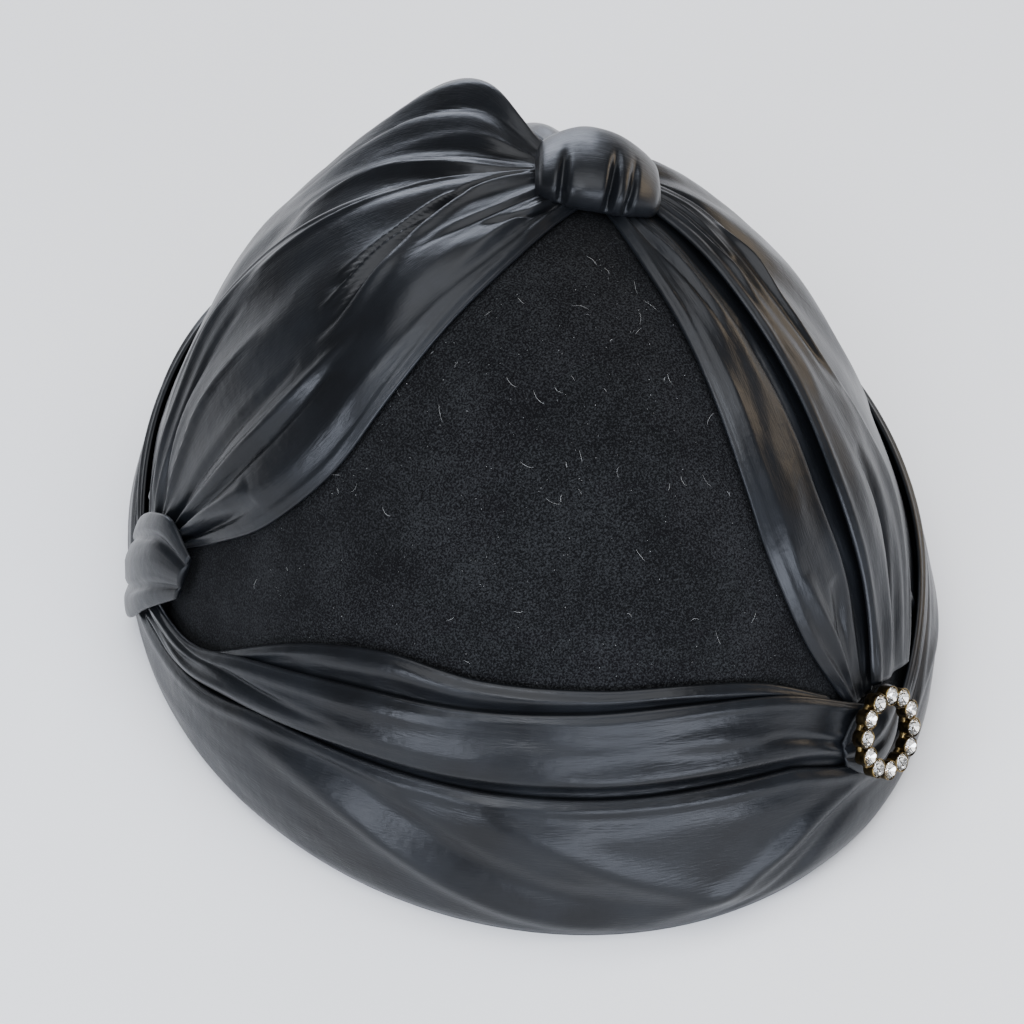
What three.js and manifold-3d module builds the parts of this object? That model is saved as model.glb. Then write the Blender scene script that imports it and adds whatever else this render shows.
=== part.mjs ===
// Draped turban hat: a hollow velvet crown, satin bands and drapes laid over it,
// a top knot, a side knot and a ring of stones. Millimetres, +Z up, front at -Y.
import * as THREE from 'three';
import Module from 'manifold-3d';

// ---- driving dimensions -------------------------------------------------
const FORM = { halfWidth: 84.5, halfLength: 101, height: 112, taper: 0.035 };
const CROWN = { wall: 2, lowest: 2.6 };
const CLOTH = 1.0;
const RIM = { outer: 3.2, hemOuter: -3.0, hemInner: -4.2, hemTop: 6, floor: 1.1 };
const STONES = { count: 12, circle: 8.1, radius: 1.75, table: 1.0, crown: 0.75, depth: 1.1 };
const SETTING = { inner: 6.5, outer: 9.7, base: 1.5, cup: 2.2, bore: 1.95, cupTop: 2.9, seat: 1.4 };
const RING_SEAT = { azimuth: 24.6, elevation: 14.6, lift: 7.6, faceAzimuth: 27, faceElevation: 22 };

// ---- colours ------------------------------------------------------------
const SATIN = { color: '#23262b', roughness: 0.36, metalness: 0 };
const VELVET = { color: '#0e0e10', roughness: 0.95, metalness: 0 };
const METAL = { color: '#4a443c', roughness: 0.38, metalness: 1 };
const STONE = { color: '#e9e6df', roughness: 0.05, metalness: 0 };

// ---- edge lines of the bands and drapes, as angles on the form ----------
// azimuth 0 is the front, positive to the wearer's left side (+X)
const LOWER_BAND_TOP = [
  { azimuth: -180, elevation: 15.0 },
  { azimuth: -150, elevation: 14.5 },
  { azimuth: -124, elevation: 11.0 },
  { azimuth: -108, elevation: 6.5 },
  { azimuth: -96, elevation: 8.0 },
  { azimuth: -84, elevation: 10.5 },
  { azimuth: -71, elevation: 14.8 },
  { azimuth: -55, elevation: 17.0 },
  { azimuth: -38, elevation: 18.0 },
  { azimuth: -21, elevation: 18.3 },
  { azimuth: -4, elevation: 17.8 },
  { azimuth: 10, elevation: 15.8 },
  { azimuth: 20, elevation: 11.5 },
  { azimuth: 28, elevation: 7.8 },
  { azimuth: 37, elevation: 8.2 },
  { azimuth: 48, elevation: 11.5 },
  { azimuth: 66, elevation: 14.5 },
  { azimuth: 110, elevation: 15.0 },
  { azimuth: 180, elevation: 15.0 },
];
const MIDDLE_BAND_EDGES = [
  { azimuth: -101, low: 5.6, high: 11.0 },
  { azimuth: -88, low: 8.0, high: 13.8 },
  { azimuth: -76, low: 10.8, high: 19.5 },
  { azimuth: -58, low: 13.8, high: 24.8 },
  { azimuth: -40, low: 14.8, high: 27.0 },
  { azimuth: -22, low: 15.2, high: 28.0 },
  { azimuth: -4, low: 14.6, high: 27.4 },
  { azimuth: 12, low: 12.0, high: 24.0 },
  { azimuth: 26, low: 5.6, high: 16.5 },
];
const UPPER_FOLD_EDGES = [
  { azimuth: -84, low: 11.5, high: 15.0 },
  { azimuth: -69, low: 18.0, high: 25.0 },
  { azimuth: -54, low: 21.0, high: 30.0 },
  { azimuth: -38, low: 23.5, high: 30.4 },
  { azimuth: -20, low: 25.2, high: 30.4 },
  { azimuth: -4, low: 25.0, high: 29.4 },
  { azimuth: 9, low: 22.6, high: 26.3 },
  { azimuth: 20, low: 17.5, high: 20.5 },
];
const REAR_BAND_EDGES = [
  { azimuth: 37, low: 5.5, high: 12.0 },
  { azimuth: 52, low: 9.0, high: 17.5 },
  { azimuth: 75, low: 11.2, high: 21.5 },
  { azimuth: 110, low: 12.0, high: 22.0 },
  { azimuth: 145, low: 12.0, high: 21.0 },
  { azimuth: 180, low: 12.0, high: 20.5 },
  { azimuth: 215, low: 11.4, high: 20.0 },
  { azimuth: 236, low: 7.6, high: 17.0 },
  { azimuth: 249, low: 3.8, high: 12.5 },
];

// each row: one station from the top knot down, the hem side and the far side
const LEFT_DRAPE = [
  { azimuth: 97, elevation: 81, farAzimuth: 128, farElevation: 77 },
  { azimuth: -48, elevation: 83, farAzimuth: 172, farElevation: 80 },
  { azimuth: -64, elevation: 71, farAzimuth: -151, farElevation: 74 },
  { azimuth: -69, elevation: 58, farAzimuth: -138, farElevation: 63 },
  { azimuth: -73, elevation: 46, farAzimuth: -131, farElevation: 50 },
  { azimuth: -81, elevation: 35, farAzimuth: -125, farElevation: 37 },
  { azimuth: -90, elevation: 27, farAzimuth: -117, farElevation: 26 },
  { azimuth: -99, elevation: 19.5, farAzimuth: -109, farElevation: 17 },
];
const LEFT_REAR_DRAPE = [
  { azimuth: 131, elevation: 78, farAzimuth: 138, farElevation: 72 },
  { azimuth: -178, elevation: 82, farAzimuth: 150, farElevation: 65 },
  { azimuth: -140, elevation: 76, farAzimuth: 156, farElevation: 57 },
  { azimuth: -129, elevation: 64, farAzimuth: 163, farElevation: 49 },
  { azimuth: -123, elevation: 51, farAzimuth: 170, farElevation: 41 },
  { azimuth: -117, elevation: 39, farAzimuth: 177, farElevation: 33 },
  { azimuth: -111, elevation: 28, farAzimuth: -175, farElevation: 26 },
  { azimuth: -114, elevation: 17, farAzimuth: -168, farElevation: 17.8 },
];
const BACK_DRAPE = [
  { azimuth: 128, elevation: 75, farAzimuth: 125, farElevation: 73 },
  { azimuth: 157, elevation: 69, farAzimuth: 117, farElevation: 64 },
  { azimuth: 166, elevation: 61, farAzimuth: 112, farElevation: 56 },
  { azimuth: 173, elevation: 52, farAzimuth: 110, farElevation: 48 },
  { azimuth: 180, elevation: 43, farAzimuth: 110, farElevation: 40 },
  { azimuth: -173, elevation: 35, farAzimuth: 110, farElevation: 32 },
  { azimuth: -166, elevation: 27, farAzimuth: 110, farElevation: 25 },
  { azimuth: -159, elevation: 17.8, farAzimuth: 110, farElevation: 18 },
];
const RIGHT_REAR_DRAPE = [
  { azimuth: 128, elevation: 73, farAzimuth: 114, farElevation: 70 },
  { azimuth: 123, elevation: 64, farAzimuth: 90, farElevation: 64 },
  { azimuth: 120, elevation: 56, farAzimuth: 74, farElevation: 60 },
  { azimuth: 118, elevation: 48, farAzimuth: 63, farElevation: 54 },
  { azimuth: 118, elevation: 40, farAzimuth: 56, farElevation: 46 },
  { azimuth: 118, elevation: 32, farAzimuth: 51, farElevation: 38 },
  { azimuth: 118, elevation: 25, farAzimuth: 47, farElevation: 29 },
  { azimuth: 118, elevation: 18, farAzimuth: 50, farElevation: 19 },
];
const RIGHT_OUTER_DRAPE = [
  { azimuth: 101, elevation: 73, farAzimuth: 112, farElevation: 69 },
  { azimuth: 78, elevation: 69, farAzimuth: 94, farElevation: 61 },
  { azimuth: 63, elevation: 64, farAzimuth: 80, farElevation: 57 },
  { azimuth: 52, elevation: 57, farAzimuth: 70, farElevation: 53 },
  { azimuth: 44, elevation: 49, farAzimuth: 62, farElevation: 46 },
  { azimuth: 38, elevation: 40, farAzimuth: 57, farElevation: 37 },
  { azimuth: 35, elevation: 29, farAzimuth: 52, farElevation: 28 },
  { azimuth: 32, elevation: 19.5, farAzimuth: 41, farElevation: 18.5 },
];
const RIGHT_INNER_DRAPE = [
  { azimuth: 95, elevation: 78, farAzimuth: 102, farElevation: 73 },
  { azimuth: 50, elevation: 74, farAzimuth: 83, farElevation: 66 },
  { azimuth: 32, elevation: 65, farAzimuth: 69, farElevation: 61 },
  { azimuth: 24, elevation: 56, farAzimuth: 58, farElevation: 54 },
  { azimuth: 19.5, elevation: 47, farAzimuth: 50, farElevation: 46 },
  { azimuth: 17.5, elevation: 38, farAzimuth: 44, farElevation: 37 },
  { azimuth: 19.5, elevation: 29, farAzimuth: 40, farElevation: 28 },
  { azimuth: 25, elevation: 20.5, farAzimuth: 30, farElevation: 20 },
];

// ---- folds: how far a line across the cloth stands off the form ---------
// at 0 is the hem side (or low edge), at 1 the far side (or high edge)
const MIDDLE_BAND_FOLDS = [
  { at: 0, start: 1.5, early: 1.5, late: 1.5, end: 1.5 },
  { at: 0.29, start: 1.5, early: 1.5, late: 1.5, end: 1.5 },
  { at: 0.45, start: 4.0, early: 4.6, late: 4.6, end: 3.0 },
  { at: 0.64, start: 2.6, early: 4.4, late: 5.0, end: 3.0 },
  { at: 0.84, start: 4.0, early: 4.0, late: 4.2, end: 3.0 },
  { at: 1, start: 3.2, early: 3.2, late: 3.2, end: 3.0 },
];
const UPPER_FOLD_FOLDS = [
  { at: 0, start: 1.5, early: 1.5, late: 1.5, end: 1.5 },
  { at: 0.56, start: 1.5, early: 1.5, late: 1.5, end: 1.5 },
  { at: 0.8, start: 1.5, early: 3.4, late: 2.6, end: 1.5 },
  { at: 1, start: 1.5, early: 2.2, late: 2.0, end: 1.5 },
];
const REAR_BAND_FOLDS = [
  { at: 0, start: 1.5, early: 1.5, late: 1.5, end: 1.5 },
  { at: 0.35, start: 1.5, early: 1.5, late: 1.5, end: 1.5 },
  { at: 0.53, start: 3.6, early: 4.4, late: 4.3, end: 4.0 },
  { at: 0.8, start: 3.8, early: 5.0, late: 4.9, end: 4.2 },
  { at: 1, start: 3.8, early: 4.6, late: 4.6, end: 4.0 },
];
const LEFT_DRAPE_FOLDS = [
  { at: 0, start: 1.8, early: 2.2, late: 2.4, end: 2.0 },
  { at: 0.12, start: 2.6, early: 4.6, late: 4.8, end: 3.0 },
  { at: 0.28, start: 3.0, early: 5.4, late: 4.4, end: 2.2 },
  { at: 0.42, start: 2.2, early: 3.2, late: 3.6, end: 3.2 },
  { at: 0.56, start: 3.4, early: 5.0, late: 4.8, end: 2.2 },
  { at: 0.72, start: 2.6, early: 3.4, late: 4.0, end: 3.2 },
  { at: 0.88, start: 3.4, early: 3.8, late: 3.8, end: 3.0 },
  { at: 1, start: 3.0, early: 3.0, late: 3.0, end: 3.0 },
];
const LEFT_REAR_FOLDS = [
  { at: 0, start: 1.5, early: 1.5, late: 1.5, end: 1.5 },
  { at: 0.18, start: 1.5, early: 1.5, late: 1.5, end: 1.5 },
  { at: 0.3, start: 1.8, early: 4.0, late: 1.8, end: 1.5 },
  { at: 0.4, start: 1.6, early: 2.6, late: 1.6, end: 1.5 },
  { at: 0.58, start: 2.2, early: 9.0, late: 2.4, end: 1.8 },
  { at: 0.76, start: 3.0, early: 14.5, late: 3.6, end: 3.0 },
  { at: 0.9, start: 3.0, early: 8.5, late: 3.2, end: 3.0 },
  { at: 1, start: 3.0, early: 3.4, late: 3.0, end: 3.0 },
];
const BACK_FOLDS = [
  { at: 0, start: 1.5, early: 1.5, late: 1.5, end: 1.5 },
  { at: 0.25, start: 1.5, early: 1.5, late: 1.5, end: 1.5 },
  { at: 0.38, start: 1.5, early: 6.0, late: 4.4, end: 1.5 },
  { at: 0.49, start: 1.5, early: 3.0, late: 2.0, end: 1.5 },
  { at: 0.58, start: 1.5, early: 4.4, late: 4.0, end: 1.5 },
  { at: 0.66, start: 1.5, early: 2.2, late: 2.2, end: 1.5 },
  { at: 0.73, start: 1.5, early: 1.5, late: 1.5, end: 1.5 },
  { at: 1, start: 1.5, early: 1.5, late: 1.5, end: 1.5 },
];
const RIGHT_REAR_FOLDS = [
  { at: 0, start: 3.0, early: 3.0, late: 3.0, end: 3.0 },
  { at: 0.2, start: 3.0, early: 4.4, late: 4.0, end: 3.0 },
  { at: 0.34, start: 1.8, early: 2.4, late: 2.2, end: 1.5 },
  { at: 0.48, start: 1.6, early: 3.6, late: 2.8, end: 1.5 },
  { at: 0.62, start: 1.5, early: 1.5, late: 1.5, end: 1.5 },
  { at: 1, start: 1.5, early: 1.5, late: 1.5, end: 1.5 },
];
const RIGHT_OUTER_FOLDS = [
  { at: 0, start: 3.0, early: 3.0, late: 3.2, end: 3.0 },
  { at: 0.26, start: 3.2, early: 4.8, late: 6.0, end: 4.0 },
  { at: 0.55, start: 3.0, early: 4.0, late: 5.0, end: 3.2 },
  { at: 0.84, start: 3.2, early: 4.8, late: 4.4, end: 3.8 },
  { at: 1, start: 3.0, early: 3.0, late: 3.0, end: 3.0 },
];
const RIGHT_INNER_FOLDS = [
  { at: 0, start: 1.8, early: 2.2, late: 2.4, end: 1.5 },
  { at: 0.16, start: 2.4, early: 4.2, late: 4.6, end: 1.5 },
  { at: 0.42, start: 2.2, early: 4.6, late: 5.0, end: 1.5 },
  { at: 0.66, start: 1.5, early: 2.4, late: 2.4, end: 1.5 },
  { at: 0.8, start: 1.5, early: 1.5, late: 1.5, end: 1.5 },
  { at: 1, start: 1.5, early: 1.5, late: 1.5, end: 1.5 },
];

// ---- padded pieces: sections across the knots ---------------------------
const TOP_KNOT = {
  at: { x: 18.5, y: 7 },
  turn: -26,
  stations: [
    { across: -12, front: -6, back: 7, base: 4.2, top: 6.4 },
    { across: -10.5, front: -9, back: 10, base: 4.0, top: 9.0 },
    { across: -5, front: -12, back: 12, base: 4.0, top: 12.0 },
    { across: 0, front: -12.5, back: 12.5, base: 4.0, top: 12.4 },
    { across: 5, front: -12, back: 12, base: 4.0, top: 11.4 },
    { across: 10.5, front: -9, back: 10, base: 4.0, top: 8.8 },
    { across: 12.5, front: -6, back: 7, base: 4.2, top: 6.2 },
  ],
};
const SIDE_KNOT = [
  { azimuth: -110, low: 2.0, high: 14.5, base: 4.2, top: 5.2 },
  { azimuth: -107, low: 3.0, high: 18.5, base: 4.2, top: 6.6 },
  { azimuth: -103, low: 6.0, high: 22.0, base: 4.3, top: 7.4 },
  { azimuth: -98, low: 11.5, high: 24.5, base: 4.2, top: 7.2 },
  { azimuth: -92, low: 17.5, high: 23.5, base: 3.6, top: 5.0 },
];
const RING_TAB = [
  { azimuth: 19, low: 12.5, high: 15.5, base: 3.6, top: 4.6 },
  { azimuth: 22, low: 10.0, high: 17.2, base: 3.5, top: 5.6 },
  { azimuth: 26, low: 9.4, high: 17.6, base: 3.5, top: 6.2 },
  { azimuth: 30, low: 10.0, high: 17.2, base: 3.5, top: 5.6 },
  { azimuth: 33, low: 12.0, high: 15.0, base: 3.6, top: 4.6 },
];

// ---- form ---------------------------------------------------------------
const radians = (degrees) => (degrees * Math.PI) / 180;

function direction(azimuth, elevation) {
  const a = radians(azimuth);
  const e = radians(elevation);
  return new THREE.Vector3(Math.sin(a) * Math.cos(e), -Math.cos(a) * Math.cos(e), Math.sin(e));
}

function onForm(unit, lift) {
  const { halfWidth, halfLength, height, taper } = FORM;
  const waist = 1 - 4 * taper * unit.z ** 2 * (1 - unit.z ** 2);
  const normal = new THREE.Vector3(unit.x / halfWidth, unit.y / halfLength, unit.z / height);
  normal.normalize();
  const point = new THREE.Vector3(
    unit.x * halfWidth * waist,
    unit.y * halfLength * waist,
    unit.z * height,
  );
  return point.addScaledVector(normal, lift);
}

// ---- interpolation ------------------------------------------------------
function curve(values, t) {
  const last = values.length - 1;
  const place = Math.min(Math.max(t, 0), 1) * last;
  const i = Math.min(Math.floor(place), last - 1);
  const f = place - i;
  const b = values[i];
  const c = values[i + 1];
  const a = i > 0 ? values[i - 1] : 2 * b - c;
  const d = i + 2 <= last ? values[i + 2] : 2 * c - b;
  return b + 0.5 * f * (c - a + f * (2 * a - 5 * b + 4 * c - d + f * (3 * (b - c) + d - a)));
}

function curveAt(rows, key, column, x) {
  let i = 0;
  while (i < rows.length - 2 && x > rows[i + 1][key]) {
    i += 1;
  }
  const f = (x - rows[i][key]) / (rows[i + 1][key] - rows[i][key]);
  return curve(rows.map((row) => row[column]), (i + f) / (rows.length - 1));
}

function railAt(units, t) {
  const axes = ['x', 'y', 'z'].map((axis) => curve(units.map((unit) => unit[axis]), t));
  return new THREE.Vector3(...axes).normalize();
}

function foldLift(folds, along, across) {
  const heights = folds.map((row) => {
    const stops = [row.start, row.early, row.late, row.end];
    const place = Math.min(along * 3, 2.9999);
    const n = Math.floor(place);
    const rise = place - n;
    return stops[n] + (stops[n + 1] - stops[n]) * rise * rise * (3 - 2 * rise);
  });
  let i = 0;
  while (i < folds.length - 2 && across > folds[i + 1].at) {
    i += 1;
  }
  const f = (across - folds[i].at) / (folds[i + 1].at - folds[i].at);
  const ease = f * f * (3 - 2 * f);
  return heights[i] + (heights[i + 1] - heights[i]) * ease;
}

// ---- mesh building ------------------------------------------------------
function closedMesh(points, faces) {
  const positions = [];
  for (const face of faces) {
    for (const index of face) {
      positions.push(points[index].x, points[index].y, points[index].z);
    }
  }
  let volume = 0;
  for (const [i, j, k] of faces) {
    volume += points[i].dot(new THREE.Vector3().crossVectors(points[j], points[k]));
  }
  const geometry = new THREE.BufferGeometry();
  if (volume < 0) {
    for (let n = 0; n < positions.length; n += 9) {
      for (let axis = 0; axis < 3; axis += 1) {
        const keep = positions[n + 3 + axis];
        positions[n + 3 + axis] = positions[n + 6 + axis];
        positions[n + 6 + axis] = keep;
      }
    }
  }
  geometry.setAttribute('position', new THREE.Float32BufferAttribute(positions, 3));
  geometry.computeVertexNormals();
  return geometry;
}

function quad(faces, a, b, c, d) {
  faces.push([a, b, c]);
  faces.push([a, c, d]);
}

// a closed tube of sections: every section is a closed loop of the same count
function loft(sections, joined) {
  const count = sections[0].length;
  const points = sections.flat();
  const faces = [];
  const spans = joined ? sections.length : sections.length - 1;
  for (let i = 0; i < spans; i += 1) {
    const j = (i + 1) % sections.length;
    for (let k = 0; k < count; k += 1) {
      const m = (k + 1) % count;
      quad(faces, i * count + k, i * count + m, j * count + m, j * count + k);
    }
  }
  if (!joined) {
    capEnd(points, faces, 0, count, false);
    capEnd(points, faces, (sections.length - 1) * count, count, true);
  }
  return closedMesh(points, faces);
}

function capEnd(points, faces, first, count, ahead) {
  const half = count / 2;
  for (let k = 0; k < half - 1; k += 1) {
    const a = first + k;
    const b = first + k + 1;
    const c = first + count - 2 - k;
    const d = first + count - 1 - k;
    if (ahead) {
      quad(faces, a, b, c, d);
    } else {
      quad(faces, a, d, c, b);
    }
  }
}

// the outer line of a sheet's section, then its inner line back again
function sheetSection(near, far, folds, along, across) {
  const outer = [];
  const inner = [];
  for (let k = 0; k <= across; k += 1) {
    const t = k / across;
    const unit = near.clone().lerp(far, t).normalize();
    const lift = foldLift(folds, along, t);
    outer.push(onForm(unit, lift));
    inner.push(onForm(unit, lift - CLOTH));
  }
  return outer.concat(inner.reverse());
}

function drape(rows, folds, alongCount, acrossCount) {
  const near = rows.map((row) => direction(row.azimuth, row.elevation));
  const far = rows.map((row) => direction(row.farAzimuth, row.farElevation));
  const sections = [];
  for (let i = 0; i <= alongCount; i += 1) {
    const t = i / alongCount;
    sections.push(sheetSection(railAt(near, t), railAt(far, t), folds, t, acrossCount));
  }
  return loft(sections, false);
}

function band(rows, folds, alongCount, acrossCount) {
  const near = rows.map((row) => direction(row.azimuth, row.low));
  const far = rows.map((row) => direction(row.azimuth, row.high));
  const sections = [];
  for (let i = 0; i <= alongCount; i += 1) {
    const t = i / alongCount;
    sections.push(sheetSection(railAt(near, t), railAt(far, t), folds, t, acrossCount));
  }
  return loft(sections, false);
}

function pad(rows, alongCount, aroundCount) {
  const sections = [];
  const column = (name) => rows.map((row) => row[name]);
  for (let i = 0; i <= alongCount; i += 1) {
    const t = i / alongCount;
    const azimuth = curve(column('azimuth'), t);
    const low = curve(column('low'), t);
    const high = curve(column('high'), t);
    const base = curve(column('base'), t);
    const top = curve(column('top'), t);
    const section = [];
    for (let k = 0; k < aroundCount; k += 1) {
      const turn = (2 * Math.PI * (k + 0.5)) / aroundCount;
      const across = Math.sign(Math.cos(turn)) * Math.abs(Math.cos(turn)) ** 0.7;
      const rise = Math.sign(Math.sin(turn)) * Math.abs(Math.sin(turn)) ** 0.7;
      const elevation = (low + high) / 2 + (across * (high - low)) / 2;
      const lift = (base + top) / 2 + (rise * (top - base)) / 2;
      section.push(onForm(direction(azimuth, elevation), lift));
    }
    sections.push(section);
  }
  return loft(sections, false);
}

// ---- pieces -------------------------------------------------------------
function crownGeometry() {
  const around = 52;
  const levels = 11;
  const points = [];
  const faces = [];
  const lowest = CROWN.lowest;
  for (const lift of [0, -CROWN.wall]) {
    for (let j = 0; j < levels; j += 1) {
      const elevation = lowest + ((86 - lowest) * j) / (levels - 1);
      for (let i = 0; i < around; i += 1) {
        points.push(onForm(direction((360 * i) / around, elevation), lift));
      }
    }
    points.push(onForm(new THREE.Vector3(0, 0, 1), lift));
  }
  const shell = levels * around + 1;
  for (let j = 0; j < levels; j += 1) {
    for (let i = 0; i < around; i += 1) {
      const n = (i + 1) % around;
      const a = j * around + i;
      const b = j * around + n;
      if (j < levels - 1) {
        quad(faces, a, b, b + around, a + around);
        quad(faces, shell + b, shell + a, shell + a + around, shell + b + around);
      } else {
        faces.push([a, b, shell - 1]);
        faces.push([shell + b, shell + a, 2 * shell - 1]);
      }
    }
  }
  for (let i = 0; i < around; i += 1) {
    const n = (i + 1) % around;
    quad(faces, n, i, shell + i, shell + n);
  }
  return closedMesh(points, faces);
}

function lowerBandTop(azimuth) {
  return curveAt(LOWER_BAND_TOP, 'azimuth', 'elevation', azimuth);
}

function lowerBandGeometry() {
  const around = 68;
  const sections = [];
  for (let i = 0; i < around; i += 1) {
    const azimuth = -180 + (360 * i) / around;
    const top = lowerBandTop(azimuth);
    const fullness = 0.2 + 0.8 * Math.min(1, Math.max(0, (top - 6) / 10));
    const profile = [
      { share: 1.0, lift: 3.1 },
      { share: 0.8, lift: 3.2 + 1.8 * fullness },
      { share: 0.5, lift: 3.2 + 2.2 * fullness },
      { share: 0.22, lift: 3.2 + 1.2 * fullness },
    ];
    const at = (elevation, lift) => onForm(direction(azimuth, elevation), lift);
    const outer = profile.map((row) => at(Math.max(top * row.share, 1), row.lift));
    const inner = profile.map((row) => at(Math.max(top * row.share, 1.4), row.lift - CLOTH));
    outer.push(at(0, RIM.outer));
    const hem = [
      at(0, RIM.hemInner),
      at(RIM.hemTop, RIM.hemInner),
      at(RIM.hemTop, RIM.hemOuter),
      at(RIM.floor, RIM.hemOuter),
      at(RIM.floor, RIM.outer - CLOTH),
    ];
    sections.push(outer.concat(hem, inner.reverse()));
  }
  return loft(sections, true);
}

function topKnotGeometry() {
  const rows = TOP_KNOT.stations;
  const column = (name) => rows.map((row) => row[name]);
  const turn = radians(TOP_KNOT.turn);
  const right = new THREE.Vector2(Math.cos(turn), Math.sin(turn));
  const away = new THREE.Vector2(-Math.sin(turn), Math.cos(turn));
  const sections = [];
  const alongCount = 14;
  const aroundCount = 14;
  for (let i = 0; i <= alongCount; i += 1) {
    const t = i / alongCount;
    const across = curve(column('across'), t);
    const front = curve(column('front'), t);
    const back = curve(column('back'), t);
    const base = curve(column('base'), t);
    const top = curve(column('top'), t);
    const section = [];
    for (let k = 0; k < aroundCount; k += 1) {
      const angle = (2 * Math.PI * (k + 0.5)) / aroundCount;
      const reach = Math.sign(Math.cos(angle)) * Math.abs(Math.cos(angle)) ** 0.75;
      const rise = Math.sign(Math.sin(angle)) * Math.abs(Math.sin(angle)) ** 0.75;
      const depth = (front + back) / 2 + (reach * (back - front)) / 2;
      const x = TOP_KNOT.at.x + right.x * across + away.x * depth;
      const y = TOP_KNOT.at.y + right.y * across + away.y * depth;
      const plan = new THREE.Vector2(x / FORM.halfWidth, y / FORM.halfLength);
      const unit = new THREE.Vector3(plan.x, plan.y, Math.sqrt(1 - plan.lengthSq()));
      section.push(onForm(unit, (base + top) / 2 + (rise * (top - base)) / 2));
    }
    sections.push(section);
  }
  return loft(sections, false);
}

function stoneGeometry() {
  const { radius, table, crown, depth } = STONES;
  const outline = [
    new THREE.Vector2(0, -depth),
    new THREE.Vector2(radius, -0.1),
    new THREE.Vector2(radius, 0.1),
    new THREE.Vector2(table, crown),
    new THREE.Vector2(0, crown),
  ];
  return latheClosed(outline, 10);
}

// turns an outline that starts and ends on the axis into a closed solid
function latheClosed(outline, around) {
  const points = [new THREE.Vector3(0, 0, outline[0].y)];
  const faces = [];
  const inner = outline.slice(1, -1);
  for (const row of inner) {
    for (let i = 0; i < around; i += 1) {
      const angle = (2 * Math.PI * i) / around;
      points.push(new THREE.Vector3(row.x * Math.cos(angle), row.x * Math.sin(angle), row.y));
    }
  }
  const last = points.length;
  points.push(new THREE.Vector3(0, 0, outline[outline.length - 1].y));
  for (let i = 0; i < around; i += 1) {
    const n = (i + 1) % around;
    faces.push([0, 1 + n, 1 + i]);
    for (let j = 0; j < inner.length - 1; j += 1) {
      const a = 1 + j * around;
      quad(faces, a + i, a + n, a + around + n, a + around + i);
    }
    const top = 1 + (inner.length - 1) * around;
    faces.push([top + i, top + n, last]);
  }
  return closedMesh(points, faces);
}

function fromManifold(solid) {
  const mesh = solid.getMesh();
  const points = [];
  for (let i = 0; i < mesh.numVert; i += 1) {
    const at = i * mesh.numProp;
    points.push(new THREE.Vector3(...mesh.vertProperties.slice(at, at + 3)));
  }
  const faces = [];
  for (let i = 0; i < mesh.numTri; i += 1) {
    faces.push([...mesh.triVerts.slice(3 * i, 3 * i + 3)]);
  }
  return closedMesh(points, faces);
}

function settingGeometry(Manifold) {
  const { inner, outer, base, cup, bore, cupTop, seat } = SETTING;
  const hoop = Manifold.cylinder(base, outer - 0.5, outer - 0.5, 48);
  let body = hoop.subtract(Manifold.cylinder(base + 2, inner, inner, 48).translate([0, 0, -1]));
  const wells = [];
  for (let i = 0; i < STONES.count; i += 1) {
    const angle = (2 * Math.PI * i) / STONES.count;
    const x = STONES.circle * Math.cos(angle);
    const y = STONES.circle * Math.sin(angle);
    body = body.add(Manifold.cylinder(cupTop, cup - 0.2, cup, 20).translate([x, y, 0]));
    wells.push(Manifold.cylinder(cupTop, bore, bore, 20).translate([x, y, seat - 0.1]));
  }
  for (const well of wells) {
    body = body.subtract(well);
  }
  return fromManifold(body);
}

// ---- assembly -----------------------------------------------------------
function mesh(name, geometry, finish) {
  const material = new THREE.MeshStandardMaterial(finish);
  const piece = new THREE.Mesh(geometry, material);
  piece.name = name;
  return piece;
}

function brooch(Manifold) {
  const group = new THREE.Group();
  group.name = 'stone_ring';
  const seat = direction(RING_SEAT.azimuth, RING_SEAT.elevation);
  group.position.copy(onForm(seat, RING_SEAT.lift));
  const face = direction(RING_SEAT.faceAzimuth, RING_SEAT.faceElevation);
  group.quaternion.setFromUnitVectors(new THREE.Vector3(0, 0, 1), face);
  group.add(mesh('ring_setting', settingGeometry(Manifold), METAL));
  for (let i = 0; i < STONES.count; i += 1) {
    const angle = (2 * Math.PI * i) / STONES.count;
    const stone = mesh(`stone_${String(i + 1).padStart(2, '0')}`, stoneGeometry(), STONE);
    const height = SETTING.seat + STONES.depth + 0.1;
    stone.position.set(STONES.circle * Math.cos(angle), STONES.circle * Math.sin(angle), height);
    group.add(stone);
  }
  return group;
}

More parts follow.
